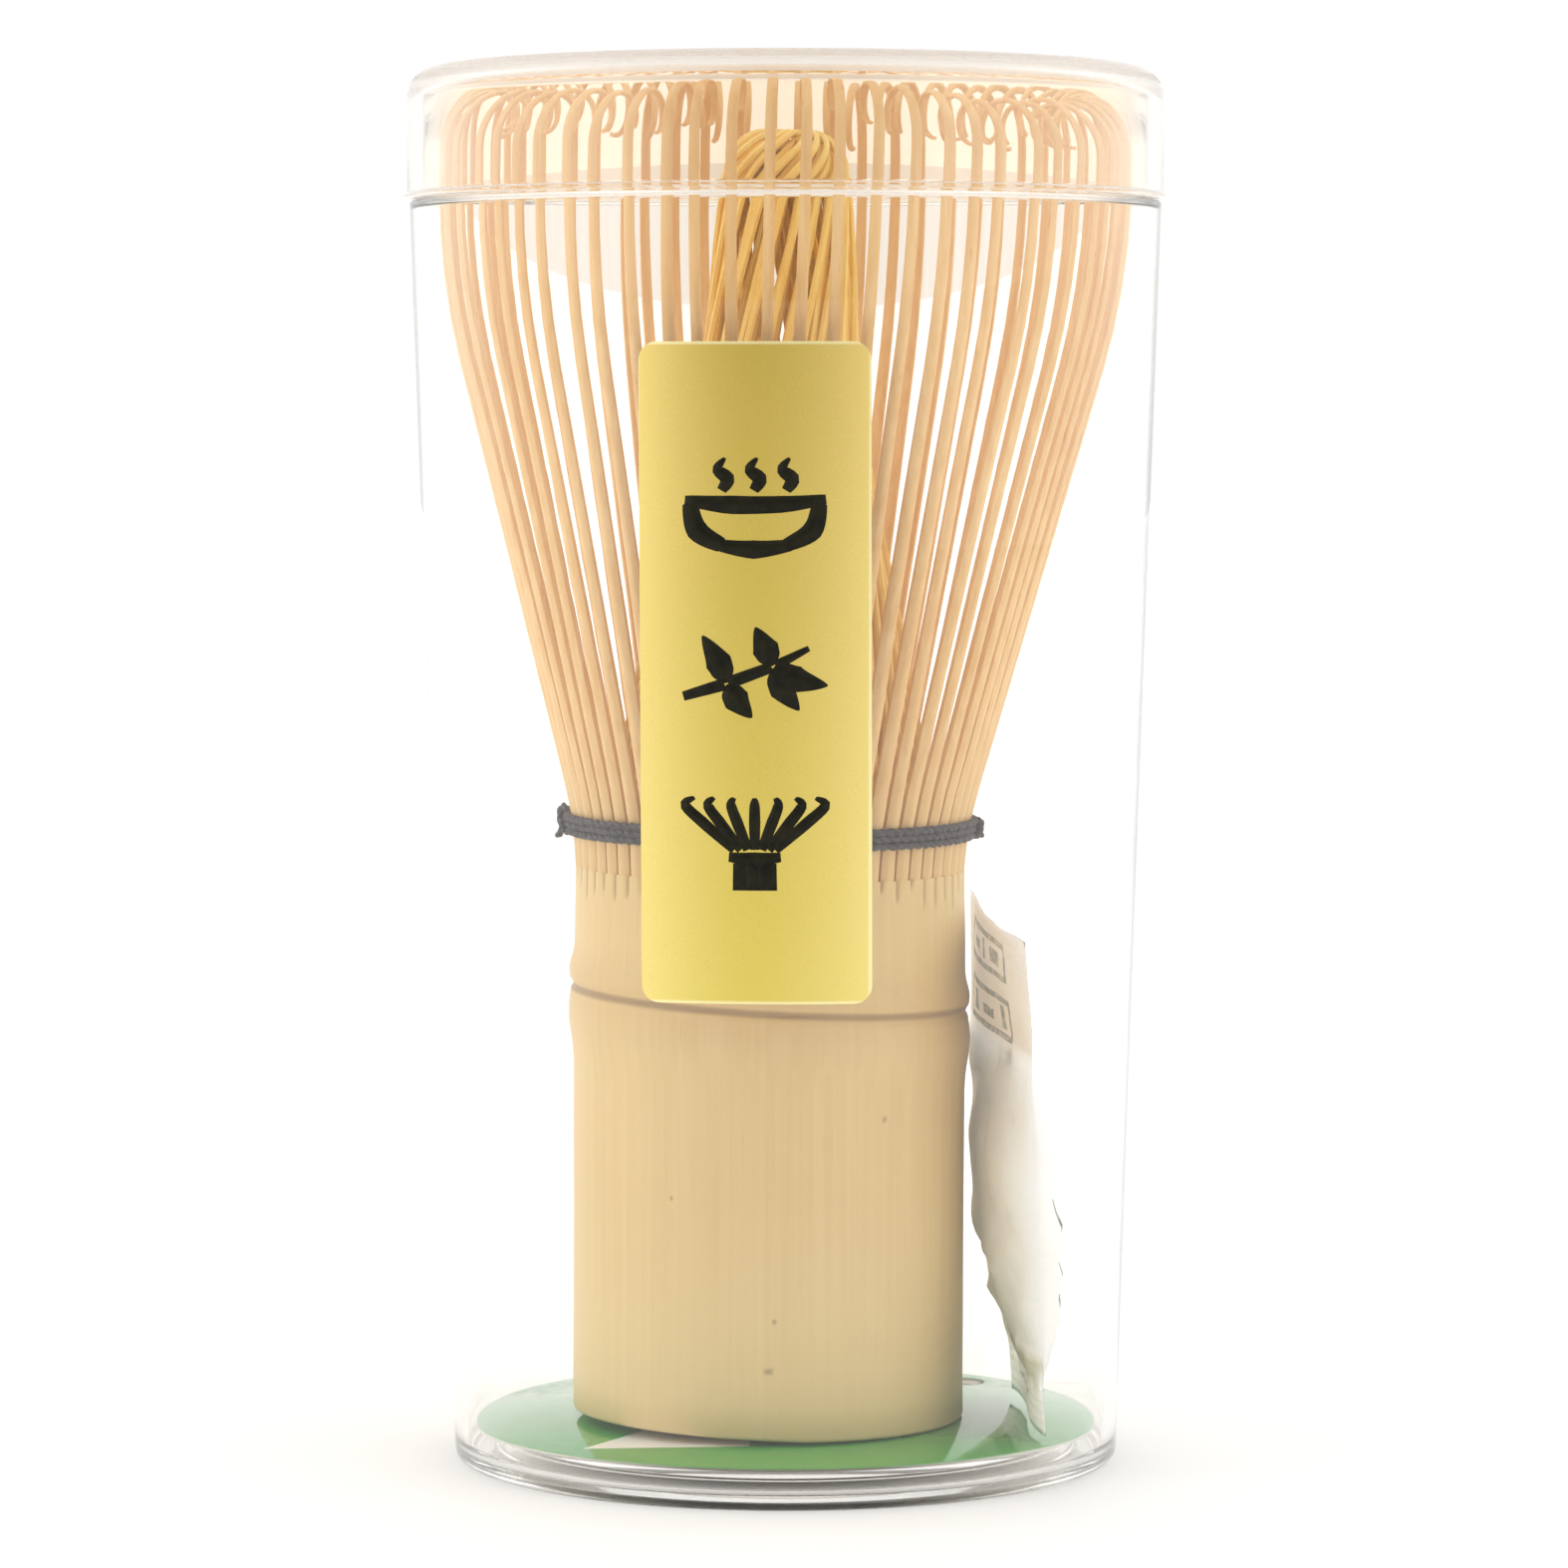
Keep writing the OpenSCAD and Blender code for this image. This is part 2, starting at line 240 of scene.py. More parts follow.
def section_frame(centre, along, outward, width, depth):
    """The matrix that puts a unit section at a point, its X across and its Y outward."""
    along = along.normalized()
    outward = (outward - outward.dot(along) * along).normalized()
    across = outward.cross(along)
    turn = Matrix((across, outward, along)).transposed().to_4x4()
    return Matrix.Translation(centre) @ turn @ Matrix.Diagonal((width, depth, 1, 1))


def sweep(bm, frames, sides=8, squareness=0.0, ring=False):
    """Extrudes a closed section through a row of frames. squareness moves it from round to square."""
    uv = bm.loops.layers.uv.verify()
    made = bmesh.ops.create_circle(bm, segments=sides, radius=0.5)["verts"]
    bmesh.ops.rotate(bm, verts=made, cent=(0, 0, 0), matrix=Matrix.Rotation(math.pi / sides, 3, "Z"))
    for v in made:
        angle = math.atan2(v.co.y, v.co.x)
        reach = 0.5 / max(abs(math.cos(angle)), abs(math.sin(angle)))
        v.co = v.co.normalized() * part_way(0.5, min(reach, 0.66), squareness)
    bmesh.ops.transform(bm, matrix=frames[0], verts=made)
    edges = list({e for v in made for e in v.link_edges})
    length = 0.0
    last_edges = first_edges = edges
    for before, after in zip(frames, frames[1:]):
        out = bmesh.ops.extrude_edge_only(bm, edges=last_edges)["geom"]
        made = [g for g in out if isinstance(g, bmesh.types.BMVert)]
        last_edges = [
            g for g in out
            if isinstance(g, bmesh.types.BMEdge) and all(v in set(made) for v in g.verts)
        ]
        bmesh.ops.transform(bm, matrix=after @ before.inverted(), verts=made)
        step = (after.translation - before.translation).length
        new = set(made)
        for face in {f for v in made for f in v.link_faces}:
            for loop in face.loops:
                loop[uv].uv = (0, (length + step) if loop.vert in new else length)
        length += step
    if ring:
        bmesh.ops.bridge_loops(bm, edges=first_edges + last_edges)
    else:
        for loop_edges in (first_edges, last_edges):
            bmesh.ops.contextual_create(bm, geom=loop_edges)


def direction(points, i):
    """The way that a row of points runs at one of them."""
    return points[min(i + 1, len(points) - 1)] - points[max(i - 1, 0)]


def around(radius, angle, z):
    return Vector((radius * math.cos(angle), radius * math.sin(angle), z))


# -------------------- finishes


def colour(red, green, blue):
    """A display colour of 0 to 255 as the linear colour that sockets take."""
    def linear(c):
        c /= 255
        return c / 12.92 if c <= 0.04045 else ((c + 0.055) / 1.055) ** 2.4
    return (linear(red), linear(green), linear(blue), 1)


class Shader:
    """A node tree with short calls for the nodes that the finishes are made of."""

    def __init__(self, tree):
        self.tree = tree

    def node(self, kind, **inputs):
        made = self.tree.nodes.new(kind)
        self.fill(made, **inputs)
        return made

    def fill(self, node, **inputs):
        """Sets inputs by name, each to a value or to another node's socket."""
        for name, value in inputs.items():
            self.put(node.inputs[name.replace("_", " ")], value)

    def put(self, socket, value):
        if isinstance(value, bpy.types.NodeSocket):
            self.tree.links.new(value, socket)
        else:
            socket.default_value = value

    def math(self, operation, a, b=0.0, clamp=False):
        made = self.tree.nodes.new("ShaderNodeMath")
        made.operation, made.use_clamp = operation, clamp
        self.put(made.inputs[0], a)
        self.put(made.inputs[1], b)
        return made.outputs[0]

    def times(self, a, b):
        return self.math("MULTIPLY", a, b)

    def mix(self, factor, a, b, how="MIX"):
        made = self.tree.nodes.new("ShaderNodeMix")
        made.data_type, made.blend_type = "RGBA", how
        self.put(made.inputs[0], factor)
        self.put(made.inputs[6], a)
        self.put(made.inputs[7], b)
        return made.outputs[2]

    def spread(self, value, low, high, to_low=0.0, to_high=1.0):
        made = self.tree.nodes.new("ShaderNodeMapRange")
        for socket, v in zip(made.inputs, (value, low, high, to_low, to_high)):
            self.put(socket, v)
        return made.outputs[0]

    def noise(self, vector, scale, detail=3.0, roughness=0.5):
        made = self.node("ShaderNodeTexNoise", Scale=scale, Detail=detail, Roughness=roughness)
        self.put(made.inputs["Vector"], vector)
        return made.outputs["Fac"]

    def grain(self, vector, scale, detail=3.0):
        """Noise with its middle range spread over 0 to 1."""
        return self.spread(self.noise(vector, scale, detail), 0.3, 0.7)

    def stretched(self, vector, scale):
        made = self.tree.nodes.new("ShaderNodeMapping")
        self.put(made.inputs["Vector"], vector)
        made.inputs["Scale"].default_value = scale
        return made.outputs[0]

    def place(self):
        return self.node("ShaderNodeTexCoord").outputs["Object"]

    def axes(self, vector):
        """The X, Y and Z of a vector."""
        split = self.node("ShaderNodeSeparateXYZ", Vector=vector)
        return [split.outputs[axis] for axis in "XYZ"]

    def height(self, value, strength, distance, normal=None):
        made = self.node("ShaderNodeBump", Strength=strength, Distance=distance, Height=value)
        if normal is not None:
            self.put(made.inputs["Normal"], normal)
        return made.outputs[0]


def group(name, inputs, outputs):
    """A new shader node group with its sockets, as (group, Shader, input node, output node)."""
    tree = bpy.data.node_groups.new(name, "ShaderNodeTree")
    for in_out, sockets in (("INPUT", inputs), ("OUTPUT", outputs)):
        for socket, kind in sockets:
            tree.interface.new_socket(name=socket, in_out=in_out, socket_type="NodeSocket" + kind)
    return tree, Shader(tree), tree.nodes.new("NodeGroupInput"), tree.nodes.new("NodeGroupOutput")


def placed(shader, tree, **inputs):
    """A group's outputs, with its inputs filled in."""
    made = shader.tree.nodes.new("ShaderNodeGroup")
    made.node_tree = tree
    shader.fill(made, **inputs)
    return made.outputs


def bamboo_fibres():
    """Long fibres, slow drifts of tone and small dark pores."""
    tree, s, given, out = group(
        "bamboo fibres",
        [("Vector", "Vector"), ("Light", "Color"), ("Dark", "Color"), ("Contrast", "Float")],
        [("Color", "Color"), ("Roughness", "Float"), ("Height", "Float")],
    )
    vector = given.outputs["Vector"]
    streaks = s.noise(s.stretched(vector, (1400, 1400, 22)), 1.0, 4, 0.6)
    drift = s.noise(s.stretched(vector, (90, 90, 25)), 1.0, 2)
    pores = s.noise(s.stretched(vector, (2600, 2600, 260)), 1.0, 1)
    tone = s.math("ADD", s.times(streaks, 0.6), s.times(drift, 0.4))
    tone = s.spread(tone, 0.36, 0.64)
    amount = s.times(s.math("SUBTRACT", 1.0, tone), given.outputs["Contrast"])
    base = s.mix(amount, given.outputs["Light"], given.outputs["Dark"])
    pore = s.times(s.spread(pores, 0.72, 0.8), s.times(given.outputs["Contrast"], 0.5))
    links = s.tree.links
    links.new(s.mix(pore, base, given.outputs["Dark"], "MULTIPLY"), out.inputs["Color"])
    links.new(s.spread(streaks, 0.3, 0.7, 0.36, 0.52), out.inputs["Roughness"])
    links.new(streaks, out.inputs["Height"])
    return tree


def soft_dust():
    """Faint cloudy marks for smooth surfaces, as a roughness and a mask."""
    tree, s, given, out = group(
        "soft dust",
        [("Vector", "Vector"), ("Smooth", "Float"), ("Dull", "Float")],
        [("Roughness", "Float"), ("Mask", "Float")],
    )
    clouds = s.noise(given.outputs["Vector"], 60, 3)
    grains = s.noise(given.outputs["Vector"], 900, 2)
    mask = s.spread(s.times(clouds, grains), 0.2, 0.36)
    s.tree.links.new(mask, out.inputs["Mask"])
    s.tree.links.new(
        s.spread(mask, 0, 1, given.outputs["Smooth"], given.outputs["Dull"]), out.inputs["Roughness"]
    )
    return tree


FIBRES = bamboo_fibres()
DUST = soft_dust()


def finish(name):
    """A new material with its Principled node, as (material, Shader, Principled)."""
    made = bpy.data.materials.new(name)
    made.use_nodes = True
    return made, Shader(made.node_tree), made.node_tree.nodes["Principled BSDF"]


def bamboo(name, light, dark, contrast, relief, sheen=0.35):
    made, s, skin = finish(name)
    place = s.place()
    fibres = placed(s, FIBRES, Vector=place, Light=light, Dark=dark, Contrast=contrast)
    s.fill(
        skin,
        Base_Color=fibres["Color"],
        Roughness=fibres["Roughness"],
        Normal=s.height(fibres["Height"], relief, 0.05 * MM),
        Specular_IOR_Level=sheen,
    )
    return made, s, skin, fibres


# Small dark specks on the front of the culm, in millimetres: x, z and radius
CULM_SPECKS = [
    (-1.4, 9.8, 0.5),
    (-0.9, 14.0, 0.3),
    (8.2, 30.5, 0.35),
    (-9.5, 24.0, 0.25),
]


def culm_finish():
    """The peeled culm, browner in the groove of its node, with painted light low down where the card shades
    it.
    """
    made, s, skin, fibres = bamboo(
        "peeled bamboo culm", colour(229, 199, 142), colour(213, 179, 112), 0.5, 0.2
    )
    place = s.place()
    across, _, height = s.axes(place)
    askew = s.math("ADD", height, s.times(across, 0.055))
    near = s.math("ABSOLUTE", s.math("SUBTRACT", askew, WHISK_Z + NODE_Z))
    line = s.spread(near, 0.15 * MM, 0.45 * MM, 1, 0)
    stain = s.spread(near, 0.4 * MM, 4.5 * MM, 0.22, 0)
    # Painted light: the lowest part is paler, lifting the shade near the card
    pale = s.spread(height, 4 * MM, 24 * MM, 0.5, 0)
    tone = s.mix(pale, fibres["Color"], colour(248, 222, 170))
    tone = s.mix(stain, tone, colour(196, 156, 104))
    tone = s.mix(s.times(line, 0.6), tone, colour(128, 92, 62))
    for speck_sizes in CULM_SPECKS:
        x, z, size = (value * MM for value in speck_sizes)
        away = s.tree.nodes.new("ShaderNodeVectorMath")
        away.operation = "DISTANCE"
        s.put(away.inputs[0], place)
        away.inputs[1].default_value = (x, -math.sqrt(HANDLE_RADIUS ** 2 - (x - WHISK_X) ** 2), z)
        ragged = s.times(away.outputs["Value"], s.spread(s.noise(place, 2500), 0.3, 0.7, 0.6, 1.5))
        speck = s.spread(ragged, 0.25 * size, size, 0.55, 0)
        tone = s.mix(speck, tone, colour(136, 104, 72))
    s.fill(skin, Base_Color=tone)
    return made, "bamboo_culm"


def outer_finish():
    """Shaved tines: pale and warm, closer to the culm's tone at their roots."""
    made, s, skin, fibres = bamboo(
        "shaved outer tines", colour(247, 210, 154), colour(228, 178, 110), 0.8, 0.3
    )
    height = s.axes(s.place())[2]
    root = s.spread(height, WHISK_Z + SPLIT_HEIGHT, WHISK_Z + SPLIT_HEIGHT + 14 * MM, 0.8, 0)
    s.fill(skin, Base_Color=s.mix(root, fibres["Color"], colour(222, 186, 128)))
    return made, "outer_bamboo"


def inner_finish():
    # A golden tone of their own, made lighter as painted light for the light reaching them between the
    # outer tines
    made = bamboo(
        "shaved inner tines", colour(255, 231, 142), colour(252, 202, 106), 0.85, 0.3
    )[0]
    return made, "inner_bamboo"


def clear_plastic():
    """Clear moulded plastic that lamps shine through, with painted glow: creamier toward the top."""
    made, s, skin = finish("clear moulded plastic")
    place = s.place()
    s.fill(skin, IOR=1.5, Transmission_Weight=1)
    height = s.axes(place)[2]
    upper = s.spread(height, 60 * MM, 100 * MM)
    # A faint tint of its own below, and painted glow above: creamy toward the top, for the tines' warm
    # light
    tint_with_painted_glow = s.mix(upper, (0.99, 0.98, 0.965, 1), (0.968, 0.925, 0.868, 1))
    s.fill(skin, Base_Color=tint_with_painted_glow)
    from_ceiling = s.math("ABSOLUTE", s.math("SUBTRACT", height, LID_HIGH.z - WALL))
    haze = s.spread(from_ceiling, 0.2 * MM, 0.5 * MM, 0.4, 0)
    s.fill(skin, Roughness=haze, Normal=s.height(s.noise(place, 90, 1), 0.008, 0.4 * MM))
    path = s.node("ShaderNodeLightPath")
    through = s.node("ShaderNodeBsdfTransparent", Color=(0.975, 0.972, 0.965, 1))
    surface = skin.outputs[0]
    for ray in ("Is Diffuse Ray", "Is Shadow Ray"):
        passing = s.node("ShaderNodeMixShader")
        s.put(passing.inputs[0], path.outputs[ray])
        s.put(passing.inputs[1], surface)
        s.put(passing.inputs[2], through.outputs[0])
        surface = passing.outputs[0]
    s.put(made.node_tree.nodes["Material Output"].inputs["Surface"], surface)
    return made, "clear_case"


def gold_paper():
    """Satin gold with painted shade down the middle and toward the top, and a painted highlight at the cut
    edge.
    """
    made, s, skin = finish("gold label paper")
    place = s.place()
    across, _, height = s.axes(place)
    aside = s.math("ABSOLUTE", s.math("ADD", across, 2.55 * MM))
    middle_z = (LABEL_LOW.z + LABEL_HIGH.z) / 2
    off_middle = s.math("ABSOLUTE", s.math("SUBTRACT", height, middle_z))
    upper = s.spread(height, LABEL_LOW.z, LABEL_HIGH.z)
    # Painted shade: darker down the middle and toward the top, lighter toward the sides
    deep = s.mix(upper, colour(222, 202, 100), colour(204, 177, 86))
    edge = s.math("POWER", s.spread(aside, 0.4 * MM, 9.4 * MM), 1.5)
    tone = s.mix(edge, deep, s.mix(upper, colour(242, 221, 136), colour(236, 209, 126)))
    # Painted highlight: a pale line along the label's cut edge
    half, half_height = LABEL_WIDTH / 2, LABEL_HIGH.z - middle_z
    sides = s.spread(aside, half - 0.32 * MM, half - 0.16 * MM)
    ends = s.spread(off_middle, half_height - 0.3 * MM, half_height - 0.14 * MM)
    rim = s.times(s.math("MAXIMUM", sides, ends), 0.7)
    s.fill(skin, Base_Color=s.mix(rim, tone, colour(255, 246, 190)), Metallic=0.85)
    dust = placed(s, DUST, Vector=place, Smooth=0.27, Dull=0.285)
    s.fill(skin, Roughness=dust["Roughness"])
    return made, "gold_label"


def label_ink():
    made, s, skin = finish("brushed black ink")
    place = s.place()
    bleed = s.grain(place, 900, 3)
    s.fill(
        skin,
        Base_Color=s.mix(bleed, colour(36, 34, 18), colour(20, 19, 12)),
        Roughness=s.spread(bleed, 0, 1, 0.3, 0.45),
        Specular_IOR_Level=0.12,
    )
    return made, "gold_label"


def green_card():
    made, s, skin = finish("glossy green card")
    place = s.place()
    fleck = s.grain(place, 500, 3)
    x, y, z = s.axes(place)
    # Painted reflection: a pale patch below the handle's left edge, for the handle's lit cut end mirrored
    # in the card
    past_left = s.math("GREATER_THAN", s.math("SUBTRACT", x, s.times(y, 0.54)), -7.4 * MM)
    askew = s.math("SUBTRACT", y, s.times(x, 0.08))
    painted_reflection = s.times(past_left, inside_box(s, x, askew, -18 * MM, -3 * MM, -15.9 * MM, 0))
    tone = s.mix(fleck, colour(66, 158, 66), colour(58, 148, 60))
    tone = s.mix(painted_reflection, tone, colour(232, 232, 228))
    # Painted shade: the hole is dark olive and loses its gloss, for the shadow beneath the card
    hole = inside_circle(s, x, y, HOLE_AT, HOLE_RADIUS)
    tone = s.mix(hole, tone, colour(62, 60, 42))
    # The card's back is plain grey, with painted shade darkening its middle
    back = s.spread(z, (CARD_LOW.z + CARD_HIGH.z) / 2, CARD_HIGH.z, 1, 0)
    outer = s.spread(s.math("ABSOLUTE", x), 7 * MM, 19 * MM)
    grey_back_with_painted_shade = s.mix(outer, colour(104, 98, 86), colour(216, 214, 206))
    s.fill(skin, Base_Color=s.mix(back, tone, grey_back_with_painted_shade))
    dust = placed(s, DUST, Vector=place, Smooth=0.04, Dull=0.12)
    s.fill(
        skin,
        Roughness=dust["Roughness"],
        Normal=s.height(s.noise(place, 90, 1), 0.05, 0.2 * MM),
        Specular_IOR_Level=s.spread(hole, 0, 1, 0.5, 0),
        Coat_Weight=s.spread(hole, 0, 1, 0.3, 0),
        Coat_Roughness=0.03,
    )
    return made, "green_card"


def sachet_paper():
    """Soft white paper with creases, ribbed seals, plain grey printed frames and painted shade on its
    flaps.
    """
    made, s, skin = finish("sachet paper")
    uv = s.node("ShaderNodeUVMap")
    uv.uv_map = "flat"
    flat = uv.outputs[0]
    across, up, _ = s.axes(flat)
    cells = s.node("ShaderNodeTexVoronoi", Vector=flat, Scale=190.0)
    cells.feature = "DISTANCE_TO_EDGE"
    creases = s.spread(cells.outputs["Distance"], 0, 0.12)
    pulp = s.noise(s.place(), 2600, 2)
    seal = s.math("GREATER_THAN", s.math("ABSOLUTE", up), 0.5 * SACHET_HEIGHT - SEAL_DEPTH)
    ribs = s.times(s.math("SINE", s.times(up, TURN / (0.9 * MM))), seal)
    printed = None
    for mark_sizes in SACHET_PRINT:
        low_x, high_x, low_y, high_y, rim = (size * MM for size in mark_sizes)
        box = inside_box(s, across, up, low_x, high_x, low_y, high_y)
        hollow = inside_box(s, across, up, low_x + rim, high_x - rim, low_y + rim, high_y - rim)
        mark = s.math("SUBTRACT", box, hollow) if rim else box
        printed = mark if printed is None else s.math("MAXIMUM", printed, mark)
    worn = s.spread(s.noise(flat, 1400, 2), 0.35, 0.55, 0.55, 1)
    ink = s.times(s.times(printed, worn), 0.92)
    paper = s.mix(s.spread(pulp, 0.3, 0.7, 0, 0.5), colour(253, 249, 243), colour(248, 242, 234))
    inner = s.math("LESS_THAN", across, 50 * MM)
    # Painted shade: the top flap's inner face is tan, for the shade it lies in facing the handle
    painted_flap_shade = s.times(s.spread(up, 10.4 * MM, 12 * MM, 0, 0.85), inner)
    paper = s.mix(painted_flap_shade, paper, colour(176, 143, 110))
    # Painted shade and painted reflection: the bottom flap's inner face is grey-green, for its shade and
    # the green card mirrored in it
    painted_shade_and_card_reflection = s.times(s.spread(up, -15.6 * MM, -14.6 * MM, 0.85, 0), inner)
    paper = s.mix(painted_shade_and_card_reflection, paper, colour(160, 160, 134))
    s.fill(
        skin,
        Base_Color=s.mix(ink, paper, colour(40, 34, 26)),
        Roughness=s.spread(pulp, 0.3, 0.7, 0.62, 0.8),
    )
    folds = s.height(creases, 0.35, 0.25 * MM)
    s.fill(
        skin,
        Normal=s.height(ribs, 0.4, 0.12 * MM, folds),
        Subsurface_Weight=0.85,
        Subsurface_Radius=(1, 0.95, 0.85),
        Subsurface_Scale=7 * MM,
    )
    return made, "sachet_paper"


def inside_box(s, x, y, low_x, high_x, low_y, high_y):
    """1 inside a box on a flat pattern and 0 outside."""
    wide = s.times(s.math("GREATER_THAN", x, low_x), s.math("LESS_THAN", x, high_x))
    tall = s.times(s.math("GREATER_THAN", y, low_y), s.math("LESS_THAN", y, high_y))
    return s.times(wide, tall)


def inside_circle(s, x, y, centre, radius):
    """1 inside an upright cylinder and 0 outside."""
    wide = s.math("POWER", s.math("SUBTRACT", x, centre.x), 2.0)
    deep = s.math("POWER", s.math("SUBTRACT", y, centre.y), 2.0)
    return s.math("LESS_THAN", s.math("ADD", wide, deep), radius ** 2)


def desiccant():
    made, s, skin = finish("desiccant beads")
    cloudy = s.grain(s.place(), 800, 2)
    s.fill(
        skin,
        Base_Color=s.mix(cloudy, colour(250, 250, 246), colour(232, 232, 226)),
        Roughness=s.spread(cloudy, 0, 1, 0.2, 0.4),
    )
    return made, "desiccant"


def thread_finish():
    made, s, skin = finish("dark cotton thread")
    place = s.place()
    fluff = s.grain(place, 2500, 3)
    drift = s.grain(place, 160, 2)
    tone = s.mix(fluff, colour(66, 61, 62), colour(102, 95, 94))
    s.fill(
        skin,
        Base_Color=s.mix(s.times(drift, 0.5), tone, colour(54, 50, 50)),
        Roughness=s.spread(fluff, 0, 1, 0.75, 0.9),
        Normal=s.height(fluff, 0.5, 0.05 * MM),
        Sheen_Weight=0.1,
    )
    return made, "thread"


# -------------------- the case


def case_tub(plastic):
    """A tapered tub with a foot ring, a raised floor, a shoulder and a thin neck."""
    inner_foot = tub_r(2.4 * MM) - WALL
    underside = FLOOR_HEIGHT - 1.2 * MM
    outline = rounded_outline([
        (0, underside, 0),
        (FLOOR_RADIUS - 0.9 * MM, underside, 0.5 * MM),
        (FLOOR_RADIUS - 0.3 * MM, 0, 0.5 * MM),
        (FOOT_RADIUS - 0.05 * MM, 0, 1.0 * MM),
        (SHOULDER_RADIUS, SHOULDER_Z, 0.15 * MM),
        (NECK_OUT, SHOULDER_Z, 0.2 * MM),
        (NECK_OUT, NECK_TOP, 0.3 * MM),
        (NECK_IN, NECK_TOP, 0.3 * MM),
        (NECK_IN, SHOULDER_Z + 0.2 * MM, 0.4 * MM),
        (SHOULDER_RADIUS - WALL, SHOULDER_Z - 0.6 * MM, 0.4 * MM),
        (inner_foot, 1.2 * MM, 1.2 * MM),
        (FLOOR_RADIUS + 0.6 * MM, 1.2 * MM, 0.4 * MM),
        (FLOOR_RADIUS, FLOOR_HEIGHT, 0.4 * MM),
        (0, FLOOR_HEIGHT, 0),
    ])
    return piece(spun(outline, 160), "clear_tub", "tub", ["case_tub"], plastic)


def case_lid(plastic):
    """A cap with a rounded top edge, a straight skirt and a small rim."""
    top, low = LID_HIGH.z, LID_LOW.z
    rim = LID_HIGH.x
    skirt = rim - 0.3 * MM
    ceiling = top - 1.1 * MM
    inside = skirt - 1.0 * MM
    outline = rounded_outline([
        (0, ceiling, 0),
        (inside, ceiling, 1.7 * MM),
        (inside, low, 0.25 * MM),
        (rim, low, 0.25 * MM),
        (rim, low + 0.4 * MM, 0.2 * MM),
        (skirt, low + 0.55 * MM, 0.15 * MM),
        (skirt, top, 2.5 * MM),
        (0, top, 0),
    ], 12)
    return piece(spun(outline, 160), "clear_lid", "lid", ["case_lid"], plastic)


# -------------------- label


def wrap_on_tub(bm, lift):
    """Bends a flat figure in the XZ plane round the tub's outside."""
    for v in bm.verts:
        reach = tub_r(v.co.z) + lift - v.co.y
        angle = LABEL_TURN - math.pi / 2 + v.co.x / tub_r(v.co.z)
        v.co = around(reach, angle, v.co.z)


def slice_upright(bm, low, high, count):
    for k in range(1, count):
        bmesh.ops.bisect_plane(
            bm,
            geom=bm.verts[:] + bm.edges[:] + bm.faces[:],
            plane_co=(part_way(low, high, k / count), 0, 0),
            plane_no=(1, 0, 0),
        )


def front_label(gold):
    low, high = LABEL_LOW.z, LABEL_HIGH.z
    half = LABEL_WIDTH / 2
    corner = 1.5 * MM
    outline = rounded_outline(
        [(-half, low, corner), (half, low, corner), (half, high, corner), (-half, high, corner)], 8
    )
    bm = bmesh.new()
    bm.faces.new([bm.verts.new((p.x, 0, p.y)) for p in outline])
    slice_upright(bm, -half, half, 24)
    bmesh.ops.solidify(bm, geom=bm.faces[:], thickness=LABEL_THICKNESS)
    wrap_on_tub(bm, 0.02 * MM + LABEL_THICKNESS)
    sharpen(bm, 40)
    return piece(bm, "gold_label", "tub", ["front_label"], gold)


# How much heavier than its listed widths a brush stroke is
STROKE_WEIGHT = 1.5


def stroke(bm, points, widths, steps=14):
    """A flat brush stroke: a ribbon along a smooth run of points, as wide as its widths."""
    path = [Vector((x, 0, z)) * MM for x, z in points]
    count = len(path)

    def point(t):
        k = min(int(t * (count - 1)), count - 2)
        f = t * (count - 1) - k
        a, b = path[max(k - 1, 0)], path[k]
        c, d = path[k + 1], path[min(k + 2, count - 1)]
        return 0.5 * (2 * b + (c - a) * f + (2 * a - 5 * b + 4 * c - d) * f ** 2
                      + (3 * b - a - 3 * c + d) * f ** 3)

    def width(t):
        k = min(int(t * (len(widths) - 1)), len(widths) - 2)
        return part_way(widths[k], widths[k + 1], t * (len(widths) - 1) - k) * MM

    edge = None
    for i in range(steps + 1):
        t = i / steps
        way = (point(min(t + 0.01, 1)) - point(max(t - 0.01, 0))).normalized()
        side = Vector((-way.z, 0, way.x)) * width(t) * STROKE_WEIGHT / 2
        here = point(t)
        new = [bm.verts.new(here - side), bm.verts.new(here + side)]
        if edge:
            bm.faces.new([edge[0], new[0], new[1], edge[1]])
        edge = new


def tea_bowl(bm, z):
    """A bowl with a foot and three curls of steam."""
    stroke(bm, [(-5.6, z + 0.6), (-2, z + 0.25), (2.5, z + 0.3), (5.8, z + 0.7)], [0.5, 1.0, 0.9, 0.5])
    stroke(bm, [(-5.2, z + 0.4), (-4.6, z - 1.8), (-2.6, z - 3.0)], [0.8, 1.2, 0.8])
    stroke(bm, [(5.3, z + 0.4), (4.7, z - 1.8), (2.6, z - 3.0)], [0.8, 1.1, 0.7])
    stroke(bm, [(-2.9, z - 3.0), (0, z - 3.35), (3.0, z - 3.0)], [0.6, 1.0, 0.6])
    for x in (-2.6, 0, 2.6):
        stroke(bm, [(x, z + 1.4), (x + 0.5, z + 2.3), (x - 0.3, z + 3.1), (x + 0.3, z + 4.0)],
               [0.5, 0.8, 0.6, 0.15])


